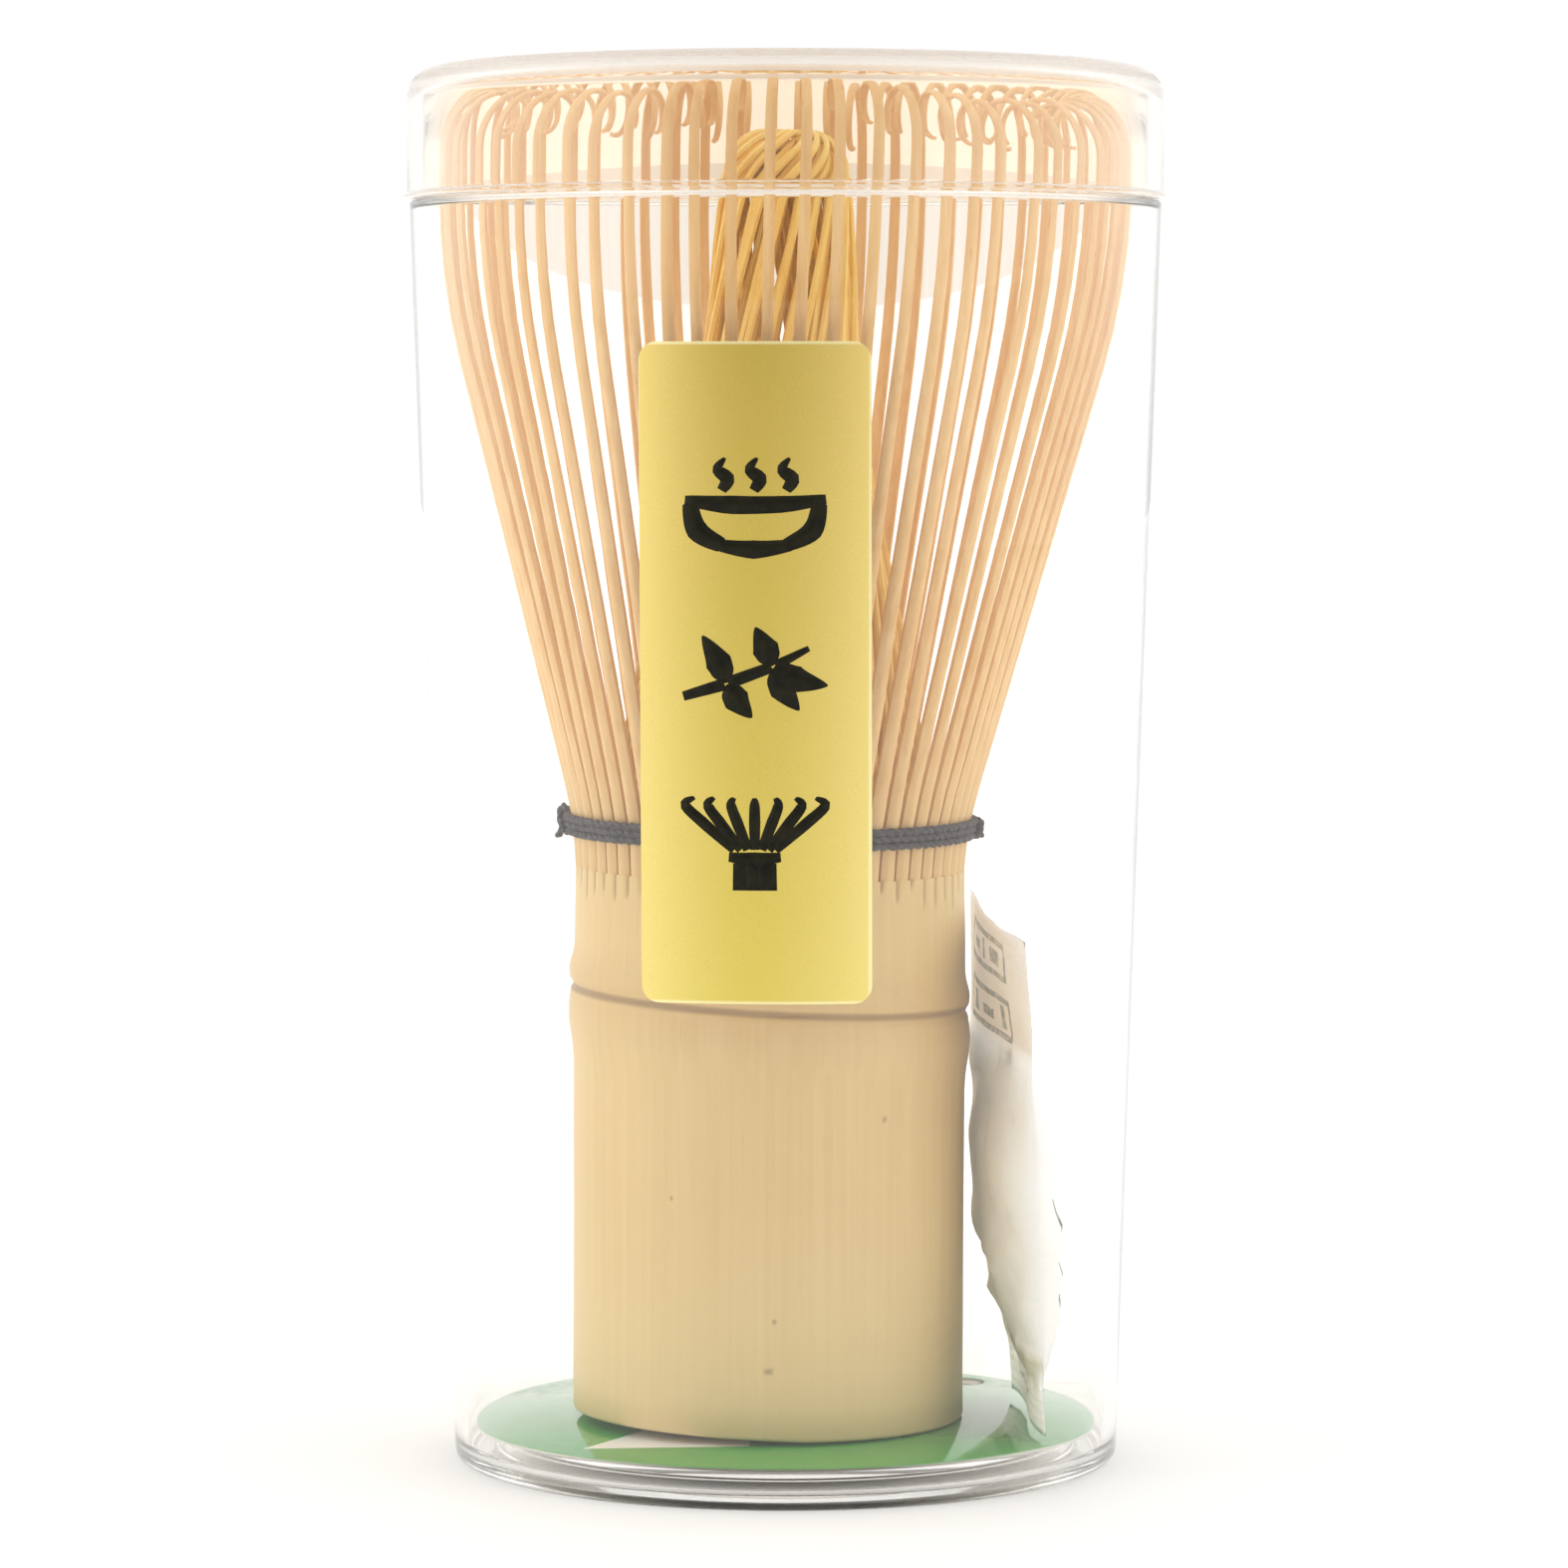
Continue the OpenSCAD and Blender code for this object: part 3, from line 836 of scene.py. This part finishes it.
def bamboo_sprig(bm, z):
    """A jointed stem with five leaves."""
    stroke(bm, [(-5.8, z - 1.9), (-2.4, z - 0.9)], [0.5, 0.7], 5)
    stroke(bm, [(-2.1, z - 0.8), (1.4, z + 0.5)], [0.7, 0.6], 5)
    stroke(bm, [(1.7, z + 0.6), (4.4, z + 2.0)], [0.6, 0.3], 5)
    leaf = [0.1, 1.2, 1.45, 0.8, 0.08]
    stroke(bm, [(-2.2, z - 0.8), (-2.9, z + 0.9), (-4.2, z + 3.0)], leaf)
    stroke(bm, [(-2.2, z - 0.9), (-1.4, z - 2.2), (-0.2, z - 3.6)], leaf)
    stroke(bm, [(1.5, z + 0.6), (0.9, z + 2.0), (0.1, z + 3.7)], leaf)
    stroke(bm, [(1.6, z + 0.5), (3.4, z - 0.5), (5.9, z - 1.0)], leaf)
    stroke(bm, [(1.5, z + 0.4), (2.3, z - 1.3), (3.6, z - 3.0)], leaf)


def whisk_sign(bm, z):
    """A whisk seen from the side: a short handle, a band and a fan of tines."""
    for x in (-1.0, 0, 1.0):
        stroke(bm, [(x, z - 3.7), (x, z - 1.5)], [1.05, 1.0], 4)
    stroke(bm, [(-2.1, z - 1.0), (0, z - 1.15), (2.1, z - 1.0)], [0.5, 0.75, 0.5], 8)
    for k in range(-3, 4):
        reach = 1.9 * k
        stroke(
            bm,
            [(0.55 * k, z - 0.4), (0.72 * reach, z + 1.7), (reach, z + 3.2), (0.86 * reach, z + 3.8)],
            [0.5, 0.62, 0.55, 0.2],
        )


def label_signs(ink):
    bm = bmesh.new()
    middle = (LABEL_LOW.z + LABEL_HIGH.z) / 2 / MM
    tea_bowl(bm, middle + 13.4)
    bamboo_sprig(bm, middle + 0.1)
    whisk_sign(bm, middle - 13.8)
    bmesh.ops.subdivide_edges(bm, edges=[e for e in bm.edges if e.calc_length() > 0.9 * MM], cuts=1)
    wrap_on_tub(bm, 0.19 * MM)
    for face in bm.faces:
        if face.normal.dot(Vector((face.calc_center_median().xy.to_3d()))) < 0:
            face.normal_flip()
    bmesh.ops.solidify(bm, geom=bm.faces[:], thickness=0.03 * MM)
    return piece(bm, "label_brush_signs", "tub", [], ink)


# -------------------- card


def base_card(green):
    """A thin disc with one hole and softly rounded edges."""
    radius = (CARD_HIGH.x - CARD_LOW.x) / 2
    hole_at = HOLE_AT + Vector((0, 0, CARD_LOW.z))
    bm = bmesh.new()
    edges = []
    for centre, r, segments in ((Vector((0, 0, CARD_LOW.z)), radius, 160), (hole_at, HOLE_RADIUS, 40)):
        ring = bmesh.ops.create_circle(
            bm, segments=segments, radius=r, matrix=Matrix.Translation(centre)
        )["verts"]
        edges += list({e for v in ring for e in v.link_edges})
    bmesh.ops.triangle_fill(bm, edges=edges, use_beauty=True)
    thick = CARD_HIGH.z - CARD_LOW.z
    lid = bmesh.ops.extrude_face_region(bm, geom=bm.faces[:], use_keep_orig=True)["geom"]
    bmesh.ops.translate(bm, vec=(0, 0, thick), verts=[g for g in lid if isinstance(g, bmesh.types.BMVert)])
    rims = [e for e in bm.edges if len(e.link_faces) == 2 and e.calc_face_angle(0) > 1]
    bmesh.ops.bevel(
        bm, geom=rims, offset=0.07 * MM, segments=2, profile=0.5, affect="EDGES", material=-1
    )
    # The punch left the hole narrower at its lower edge
    for v in bm.verts:
        out = (v.co - hole_at).to_2d()
        if out.length < 1.2 * HOLE_RADIUS:
            narrow = part_way(0.35, 1, (v.co.z - CARD_LOW.z) / thick)
            v.co.xy = hole_at.xy + out * narrow
    sharpen(bm, 50)
    return piece(bm, "green_card_disc", "card", ["base_card"], green)


# -------------------- sachet

SACHET_LOW, SACHET_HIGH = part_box("desiccant_sachet")
SACHET_WIDTH = 25 * MM
SACHET_HEIGHT = SACHET_HIGH.z - SACHET_LOW.z
SEAL_DEPTH = 4.2 * MM
# How far the outer face's pattern lies from the inner face's on the flat sachet, in millimetres
OUTER_FACE = 100
# Plain printed marks on the flat sachet, in millimetres: low x, high x, low y, high y and the
# rim of a frame
SACHET_PRINT = [
    (-6.5, 8.5, 17.0, 20.5, 0.55),
    (-6.5, 8.5, 11.7, 15.5, 0.55),
    (-4.6, -1.6, 18.1, 19.4, 0),
    (0.2, 1.0, 17.9, 19.7, 0),
    (2.8, 6.2, 18.2, 19.1, 0),
    (-4.8, -3.6, 12.6, 14.7, 0),
    (-1.4, 2.2, 12.9, 13.8, 0),
    (4.2, 6.6, 12.6, 14.5, 0),
    (-4.0, 7.5, -19.6, -16.9, 0.35),
    (-0.6, 0.6, -18.9, -17.6, 0),
    (3.2, 5.2, -18.6, -17.9, 0),
    (OUTER_FACE - 8.6, OUTER_FACE - 8.0, -4.6, -1.7, 0),
    (OUTER_FACE - 8.8, OUTER_FACE - 7.6, -8.4, -7.2, 0),
    (OUTER_FACE - 8.7, OUTER_FACE - 8.0, -11.2, -10.0, 0),
]


def flat_pillow():
    """Two flat sheets joined round their edge, with the flat pattern kept as UVs."""
    bm = bmesh.new()
    uv = bm.loops.layers.uv.new("flat")
    for side in (1, -1):
        bmesh.ops.create_grid(
            bm,
            x_segments=44,
            y_segments=76,
            size=0.5,
            matrix=Matrix.Translation((0, 0, side * 0.01 * MM)),
        )
    bmesh.ops.transform(bm, matrix=Matrix.Diagonal((SACHET_WIDTH, SACHET_HEIGHT, 1, 1)), verts=bm.verts)
    for face in bm.faces:
        outer = OUTER_FACE * MM if face.calc_center_median().z > 0 else 0
        for loop in face.loops:
            loop[uv].uv = (loop.vert.co.x + outer, loop.vert.co.y)
    rim = [
        v for v in bm.verts
        if abs(abs(v.co.x) - SACHET_WIDTH / 2) < 1e-6 or abs(abs(v.co.y) - SACHET_HEIGHT / 2) < 1e-6
    ]
    for v in rim:
        v.co.z = 0
    bmesh.ops.remove_doubles(bm, verts=rim, dist=1e-6)
    return bm


def station(stations, z):
    """A smooth value at a height from rows of (height, value), all in millimetres."""
    z /= MM
    low = max((row for row in stations if row[0] <= z), default=stations[0])
    high = min((row for row in stations if row[0] >= z), default=stations[-1])
    if low[0] == high[0]:
        return low[1] * MM
    t = (z - low[0]) / (high[0] - low[0])
    return part_way(low[1], high[1], t * t * (3 - 2 * t)) * MM


# How the sachet stands: where its middle is to the right, and half its thickness, by height
SACHET_MIDDLE = [(4, 20.8), (9, 20.75), (15, 20.35), (20, 19.85), (28, 19.2), (36, 18.2), (48, 17.7)]
SACHET_HALF = [
    (4, 0.12), (8, 0.16), (10.5, 1.25), (15, 2.5), (20, 3.0), (27, 2.75), (33, 1.3), (37, 0.2), (48, 0.12)
]

# Slanting tucks, three low and one high: share of the height, slope across and depth
SACHET_TUCKS = [
    (0.34, 0.1, 0.35 * MM), (0.27, -0.11, 0.35 * MM), (0.2, 0.08, 0.35 * MM), (0.74, -0.02, 0.3 * MM)
]


def ridges(x, y, seed):
    """Soft folds with sharp crests, from 0 to 1."""
    return (1 - abs(noise.noise(Vector((x, y, seed))))) ** 5


def sachet(paper):
    """The filled sachet, leaning in the gap beside the handle, with flat seals and creased sides."""
    bm = flat_pillow()
    for v in bm.verts:
        u = 2 * v.co.x / SACHET_WIDTH
        t = 0.5 + v.co.y / SACHET_HEIGHT
        side = (v.co.z > 0) - (v.co.z < 0)
        z = part_way(SACHET_LOW.z, SACHET_HIGH.z, t)
        half = station(SACHET_HALF, z)
        full = min(1, half / (2 * MM))
        swell = half * max(0, 1 - u * u) ** 0.6 + 0.06 * MM * min(1, 40 * (1 - abs(u)))
        fold = ridges(1.3 * u + 2.2 * t, 5.5 * t - 1.1 * u, 3.1) - 0.35
        fold += 0.8 * (ridges(1.1 * u - 2 * t, 6 * t + 1.3 * u, 8.4) - 0.3) * (1 - blend(t, 0.3, 0.5))
        fine = noise.noise(Vector((3.4 * u, 13 * t, side))) * 0.5
        dent = (0.75 * fold + 0.25 * fine) * MM * part_way(0.1, 0.75, full) * min(1, 6 * (1 - abs(u)))
        bow = 0.55 * MM * math.sin(2.6 * u + 5 * t) * (1 - 0.6 * full)
        for low, slope, depth in SACHET_TUCKS:
            dent -= depth * bump(t, low + slope * u, 0.018) * (1 - u * u)
        pucker = 0.22 * MM * math.sin(19 * u + 3 * side) * bump(t, 0.13, 0.05)
        turn = math.radians(part_way(4.5, 8.5, blend(t, 0.1, 0.8)))
        width = SACHET_WIDTH / 2 * part_way(0.985, 0.93, full)
        width -= 0.25 * MM * noise.noise(Vector((u, 9 * t, 7)))
        across = u * width
        out = side * (swell + pucker) + dent + bow
        middle_y = part_way(-2.6, -1.2, t) * MM
        v.co = Vector((
            station(SACHET_MIDDLE, z) + out * math.cos(turn) - across * math.sin(turn),
            middle_y + out * math.sin(turn) + across * math.cos(turn),
            z + 1.15 * MM * t * (u - 1) + 0.3 * MM * (t - 0.5) * noise.noise(Vector((3 * u, 0, 5))),
        ))
    made = piece(bm, "sachet_pillow", "sachet", ["desiccant_sachet"], paper)
    return made


# -------------------- handle

# Corners of each stave round the handle: the slit, its two lips and two more between
STAVE_COLUMNS = (0.0, 0.06, 0.36, 0.64, 0.94)


def handle(culm):
    """The culm with its node, cut end, hollow and the slits that part the tines."""
    rows = [0.3 * MM, 3 * MM, 10 * MM, 18 * MM, 25 * MM]
    node_rows = 60
    start = NODE_Z - 8 * MM
    outline = [Vector((BORE_RADIUS, 0.25 * MM)), Vector((BORE_RADIUS + 0.25 * MM, 0))]
    outline += [Vector((HANDLE_RADIUS - 0.35 * MM, 0)), Vector((HANDLE_RADIUS - 0.12 * MM, 0.1 * MM))]
    outline += [Vector((handle_r(z), z)) for z in rows]
    for i in range(node_rows + 1):
        z = part_way(start, SPLIT_HEIGHT, i / node_rows)
        outline.append(Vector((handle_r(z), z)))
    outline += [
        Vector((BORE_RADIUS, SPLIT_HEIGHT)),
        Vector((BORE_RADIUS, NODE_Z + 0.8 * MM)),
        Vector((BORE_RADIUS - 0.8 * MM, NODE_Z)),
        Vector((0, NODE_Z)),
    ]
    below = [
        Vector((0, NODE_Z - DIAPHRAGM)),
        Vector((BORE_RADIUS - 0.8 * MM, NODE_Z - DIAPHRAGM)),
        Vector((BORE_RADIUS, NODE_Z - DIAPHRAGM - 0.8 * MM)),
    ]
    columns = len(STAVE_COLUMNS)
    bm = spun(below + outline, OUTER_COUNT * columns)
    draw = random.Random(7)
    depths = [draw.uniform(0.6, 3.2) * MM for _ in range(OUTER_COUNT)]
    pitch = TURN / OUTER_COUNT
    for v in bm.verts:
        radius = v.co.xy.length
        if radius < BORE_RADIUS + 0.6 * MM:
            continue
        index = round((math.atan2(v.co.y, v.co.x) % TURN) / pitch * columns) % (OUTER_COUNT * columns)
        tine, column = divmod(index, columns)
        angle = (tine + STAVE_COLUMNS[column]) * pitch
        z = v.co.z
        if z < 0.5 * MM:
            z += 0.8 * MM * max(0, math.cos(angle - math.radians(226)) - 0.55)
        elif radius > BORE_RADIUS + 2 * MM:
            scar = -0.055 * radius * math.cos(angle)
            radius += handle_r(z, scar) - handle_r(z)
            radius += 0.06 * MM * noise.noise(Vector((math.cos(angle), math.sin(angle), z * 60)) * 1.6)
        if column == 0 and z > SPLIT_HEIGHT - depths[tine] and radius > BORE_RADIUS + 2 * MM:
            opened = (z - SPLIT_HEIGHT + depths[tine]) / depths[tine]
            radius -= 0.9 * MM * min(1, 2 * opened)
        v.co = around(radius, angle, z)
    sharpen(bm, 55)
    return piece(bm, "bamboo_handle", "whisk", ["handle"], culm)


# -------------------- tines


def outer_path(draw, angle):
    """Frames of one outer tine: a straight spreading leg, then a hook that curls in and down."""
    crown = CROWN_RADIUS + draw.uniform(-0.35, 0.5) * MM
    off_front = math.degrees(abs((angle + TURN / 4 + math.pi) % TURN - math.pi))
    top = WHISK_HEIGHT - (draw.uniform(0, 0.4) + 1.4 * blend(off_front, 8, 34)) * MM
    sway = math.radians(draw.gauss(0, 0.45))
    width = draw.uniform(0.93, 1.03)
    hook = [4.6 * draw.uniform(0.9, 1.08), 3.2, 1.9 * draw.uniform(0.85, 1.1), 1.4]
    turn_end = draw.triangular(190, 330, 230)
    twist = math.radians(draw.gauss(0, 9))
    phase = draw.uniform(0, TURN)

    def hook_radius(a):
        k = min(a / 80, 2.999)
        i = int(k)
        return part_way(hook[i], hook[i + 1], k - i) * MM

    step = 12
    rise = sum(hook_radius(a + step / 2) * math.cos(math.radians(a + step / 2)) for a in range(0, 90, step))
    hook_z = top - rise * math.radians(step) * 0.99
    spine = []
    legs = 17
    for i in range(legs + 1):
        t = i / legs
        z = part_way(SPLIT_HEIGHT, hook_z, t)
        depth = part_way(0.95, 0.5, t) * MM
        wide = part_way(1.44, 0.88, t ** 0.8) * MM * part_way(1, width, min(1, 3 * t))
        offset = sway * blend(t, 0, 1) + 0.0035 * math.sin(5 * t + phase) * t
        spine.append((outer_r(z, crown) - depth / 2, z, offset, wide, depth))
    radius, z = spine[-1][0], hook_z
    a = 0.0
    while a < turn_end:
        r = hook_radius(a) - 0.2 * MM
        mid = math.radians(a + step / 2)
        radius -= r * math.radians(step) * math.sin(mid)
        z += r * math.radians(step) * math.cos(mid)
        a += step
        t = a / turn_end
        lean = twist * t * t * 0.14
        spine.append((radius, z, spine[legs][2] + lean, part_way(0.88, 0.5, t) * MM * width,
                      part_way(0.5, 0.26, t) * MM))
    points = [around(r, angle + offset, h) for r, h, offset, _, _ in spine]
    frames = []
    for i, (r, h, offset, wide, depth) in enumerate(spine):
        along = direction(points, i)
        radial = around(1, angle + offset, 0)
        outward = radial * (along.z / along.length) + Vector((0, 0, 1)) * -along.dot(radial) / along.length
        frames.append(section_frame(points[i], along, outward, wide, depth))
    return frames


def outer_tines(group_number, shaved):
    bm = bmesh.new()
    for k in range(OUTER_PER_GROUP):
        number = OUTER_PER_GROUP * (group_number - 1) + k
        draw = random.Random(100 + number)
        sweep(bm, outer_path(draw, (number + 0.5) * TURN / OUTER_COUNT), 8, 1.0)
    sharpen(bm, 38)
    name = f"outer_tines_{group_number:02d}"
    return piece(bm, "split_" + name, "whisk", [name], shaved)


INNER_ROOT = ROOT_RADIUS - 2.5 * MM
FOLD_Z = WHISK_HEIGHT - 7.9 * MM
FOLD_CENTRE = 1.95 * MM
INNER_TWIST = math.radians(70)
HEAD_TWIST = math.radians(60)


def inner_path(draw, angle, layer, half):
    """Frames of one strand of an inner tine, which is split in two along its length: it closes in,
    winds with its neighbours and folds over in the head."""
    fold_radius = (3.0 if layer == 0 else 2.3) * MM + 0.35 * MM * half
    fold_turn = draw.uniform(84, 112)
    wander = draw.uniform(0, TURN)
    stray = draw.gauss(0, 0.05)
    spine = []
    legs, folds = 22, 9
    for i in range(legs + folds + 1):
        t = min(1, i / legs)
        fold = max(0, i - legs) / folds
        tilt = math.radians(fold * fold_turn)
        if fold:
            radius = FOLD_CENTRE + fold_radius * math.cos(tilt)
            z = FOLD_Z + fold_radius * math.sin(tilt)
        else:
            close = t + 0.16 * math.sin(math.pi * t) * blend(t, 0.15, 0.7)
            radius = part_way(INNER_ROOT, FOLD_CENTRE + fold_radius, close)
            z = part_way(SPLIT_HEIGHT, FOLD_Z, t)
        apart = half * part_way(0.33, 0.42, t) * MM / radius
        wind = INNER_TWIST * t ** 2.2 + HEAD_TWIST * fold + apart + stray * t
        wind += 0.045 * math.sin(7 * t + wander) * t * (1 - fold)
        radius += 0.16 * MM * math.sin(9 * t + 2 * wander) * t * (1 - fold)
        wide = part_way(0.64, 0.7, t) if not fold else part_way(0.7, 0.5, fold)
        depth = part_way(0.9, 0.5, t) if not fold else part_way(0.5, 0.4, fold)
        spine.append((radius, angle + wind, z, wide * MM, depth * MM, tilt))
    points = [around(r, a, z) for r, a, z, _, _, _ in spine]
    frames = []
    for i, (r, a, z, wide, depth, tilt) in enumerate(spine):
        along = direction(points, i)
        outward = around(math.cos(tilt), a, math.sin(tilt))
        frames.append(section_frame(points[i], along, outward, wide, depth))
    return frames


def inner_tines(group_number, shaved):
    bm = bmesh.new()
    for k in range(INNER_PER_GROUP):
        number = INNER_PER_GROUP * (group_number - 1) + k
        draw = random.Random(500 + number)
        for half in (-1, 1):
            sweep(bm, inner_path(draw, number * TURN / INNER_COUNT, number % 2, half), 6, 0.6)
    sharpen(bm, 50)
    name = f"inner_tines_{group_number:02d}"
    return piece(bm, "split_" + name, "whisk", [name], shaved)


# -------------------- thread


def yarn(bm, path, ply_turns, thickness, closed=True):
    """Two plies twisted round each other along a path of (point, outward) pairs."""
    count = len(path)
    for ply in (0, 1):
        frames = []
        for i in range(count):
            point, outward = path[i]
            ahead, behind = path[(i + 1) % count][0], path[i - 1][0]
            if not closed:
                ahead, behind = path[min(i + 1, count - 1)][0], path[max(i - 1, 0)][0]
            along = (ahead - behind).normalized()
            side = outward.cross(along).normalized()
            spin = TURN * (ply / 2 + ply_turns * i / count)
            off = (side * math.cos(spin) + outward * math.sin(spin)) * thickness * 0.17
            frames.append(section_frame(point + off, along, outward, thickness * 0.66, thickness * 0.66))
        sweep(bm, frames, 6, 0.0, ring=closed)


def binding_thread(cotton):
    """Three turns of two-ply thread over the tines, one behind them, and the knot with its ends."""
    bm = bmesh.new()
    rings = 440
    pitch = 0.78 * THREAD_SIZE
    for k in (-1, 0, 1):
        draw = random.Random(40 + k)
        shift = draw.uniform(0, TURN)
        path = []
        for i in range(rings):
            angle = TURN * i / rings
            z = THREAD_Z + k * pitch + 0.05 * MM * math.sin(3 * angle + shift)
            press = 0.05 * MM * math.cos(OUTER_COUNT * (angle - 0.5 * TURN / OUTER_COUNT))
            radius = outer_r(z + THREAD_SIZE / 2) + 0.44 * THREAD_SIZE + press
            path.append((around(radius, angle, z), around(1, angle, 0)))
        yarn(bm, path, 58 + k, THREAD_SIZE)
    path = []
    inner_radius = (INNER_ROOT + outer_r(THREAD_Z) - 0.5 * MM) / 2
    for i in range(rings // 2):
        angle = TURN * i / (rings // 2)
        path.append((around(inner_radius, angle, THREAD_Z), around(1, angle, 0)))
    yarn(bm, path, 26, THREAD_SIZE)
    knot(bm, math.radians(178), 1.25)
    knot(bm, math.radians(-3), 0.7)
    return piece(bm, "binding_thread_turns", "whisk", ["binding_thread"], cotton)


def knot(bm, angle, size):
    """A small half knot lying on the turns, with a short loose end."""
    radius = outer_r(THREAD_Z + 0.9 * MM) + 0.95 * THREAD_SIZE
    path = []
    count = 46
    for i in range(count):
        a = TURN * i / count
        wide = 1.15 * MM * size * math.sin(a)
        tall = 0.95 * MM * size * math.sin(2 * a + 0.4)
        proud = 0.3 * MM * size * math.cos(3 * a)
        point = around(radius + proud, angle + wide / radius, THREAD_Z + tall)
        path.append((point, around(1, angle, 0)))
    yarn(bm, path, 5, 0.9 * THREAD_SIZE)
    for way in (-1, 1):
        tail = []
        for i in range(14):
            t = i / 13
            along = way * (0.4 + 1.9 * t) * MM * size
            drop = (0.2 * t - 0.9 * t * t) * MM * way
            tail.append((around(radius + 0.1 * MM, angle + along / radius, THREAD_Z + drop),
                         around(1, angle, 0)))
        yarn(bm, tail, 2, 0.8 * THREAD_SIZE, closed=False)


# -------------------- the studio


def studio():
    """A pale floor, a white surround that is darker towards the front, and soft lamps."""
    bm = bmesh.new()
    bmesh.ops.create_circle(bm, cap_ends=True, segments=64, radius=6.0)
    floor = as_object(bm, "pale_floor")
    floor.location.z = -0.02 * MM
    made, s, skin = finish("pale floor")
    tone = s.grain(s.place(), 3, 2)
    s.fill(
        skin,
        Base_Color=s.mix(tone, (0.94, 0.94, 0.94, 1), (0.96, 0.96, 0.96, 1)),
        Roughness=0.7,
        Specular_IOR_Level=0.2,
        Emission_Color=(1, 1, 1, 1),
    )
    # A faint glow keeps the floor white toward the back
    behind = s.axes(s.place())[1]
    s.fill(skin, Emission_Strength=s.spread(behind, 40 * MM, 260 * MM, 0, 0.3))
    floor.data.materials.append(made)

    world = bpy.data.worlds.new("white surround")
    world.use_nodes = True
    bpy.context.scene.world = world
    sky = Shader(world.node_tree)
    way = sky.node("ShaderNodeTexCoord").outputs["Generated"]
    dot = world.node_tree.nodes.new("ShaderNodeVectorMath")
    dot.operation = "DOT_PRODUCT"
    sky.put(dot.inputs[0], way)
    dot.inputs[1].default_value = Vector((0, -1, 0.22)).normalized()
    share = sky.spread(dot.outputs["Value"], 0.64, 0.97)
    back = world.node_tree.nodes["Background"]
    across = sky.math("ABSOLUTE", sky.axes(way)[0])
    sides = sky.mix(sky.spread(across, 0.35, 0.75), (1, 1, 1, 1), (1.45, 1.45, 1.43, 1))
    sky.put(back.inputs["Color"], sky.mix(share, sides, (0.4, 0.39, 0.37, 1)))
    back.inputs["Strength"].default_value = 1.03

    lamps = [
        ("left softbox", (-0.8, -0.1, 0.3), 0.55, 0.9, 0.9),
        ("right softbox", (0.65, -0.5, 0.35), 0.5, 0.9, 0.2),
        ("top softbox", (0.0, 0.1, 0.95), 0.8, 0.8, 0.6),
    ]
    for name, where, wide, tall, power in lamps:
        light = bpy.data.lights.new(name, "AREA")
        light.shape, light.size, light.size_y, light.energy = "RECTANGLE", wide, tall, power
        lamp = bpy.data.objects.new(name, light)
        lamp.visible_glossy = lamp.visible_transmission = False
        lamp.location = where
        lamp.rotation_euler = (Vector((0, 0, 0.06)) - Vector(where)).to_track_quat("-Z", "Y").to_euler()
        bpy.context.scene.collection.objects.link(lamp)


def camera():
    """Level with the shoulders of the case, looking a little down at it from the front."""
    lens = bpy.data.cameras.new("camera")
    lens.sensor_width = 36
    lens.lens = 136.5
    lens.clip_start, lens.clip_end = 0.01, 50
    eye = bpy.data.objects.new("camera", lens)
    aside, away, height = -0.13 * MM, 509 * MM, 89 * MM
    down_degrees = 3.5
    eye.location = (aside, -away, height)
    eye.rotation_euler = (math.radians(90 - down_degrees), 0, 0)
    bpy.context.scene.collection.objects.link(eye)
    bpy.context.scene.camera = eye


scene = bpy.context.scene
scene.view_settings.view_transform = "Standard"
scene.cycles.max_bounces = 48
scene.cycles.glossy_bounces = 48
scene.cycles.transmission_bounces = 48
scene.cycles.transparent_max_bounces = 24

camera()
studio()

plastic = clear_plastic()
case_tub(plastic)
case_lid(plastic)
front_label(gold_paper())
label_signs(label_ink())
base_card(green_card())
sachet(sachet_paper())
handle(culm_finish())
binding_thread(thread_finish())
shaved_outer = outer_finish()
for number in range(1, OUTER_GROUPS + 1):
    outer_tines(number, shaved_outer)
shaved_inner = inner_finish()
for number in range(1, INNER_GROUPS + 1):
    inner_tines(number, shaved_inner)
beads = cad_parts["desiccant_beads"]
beads.data.materials.clear()
beads.data.materials.append(desiccant()[0])
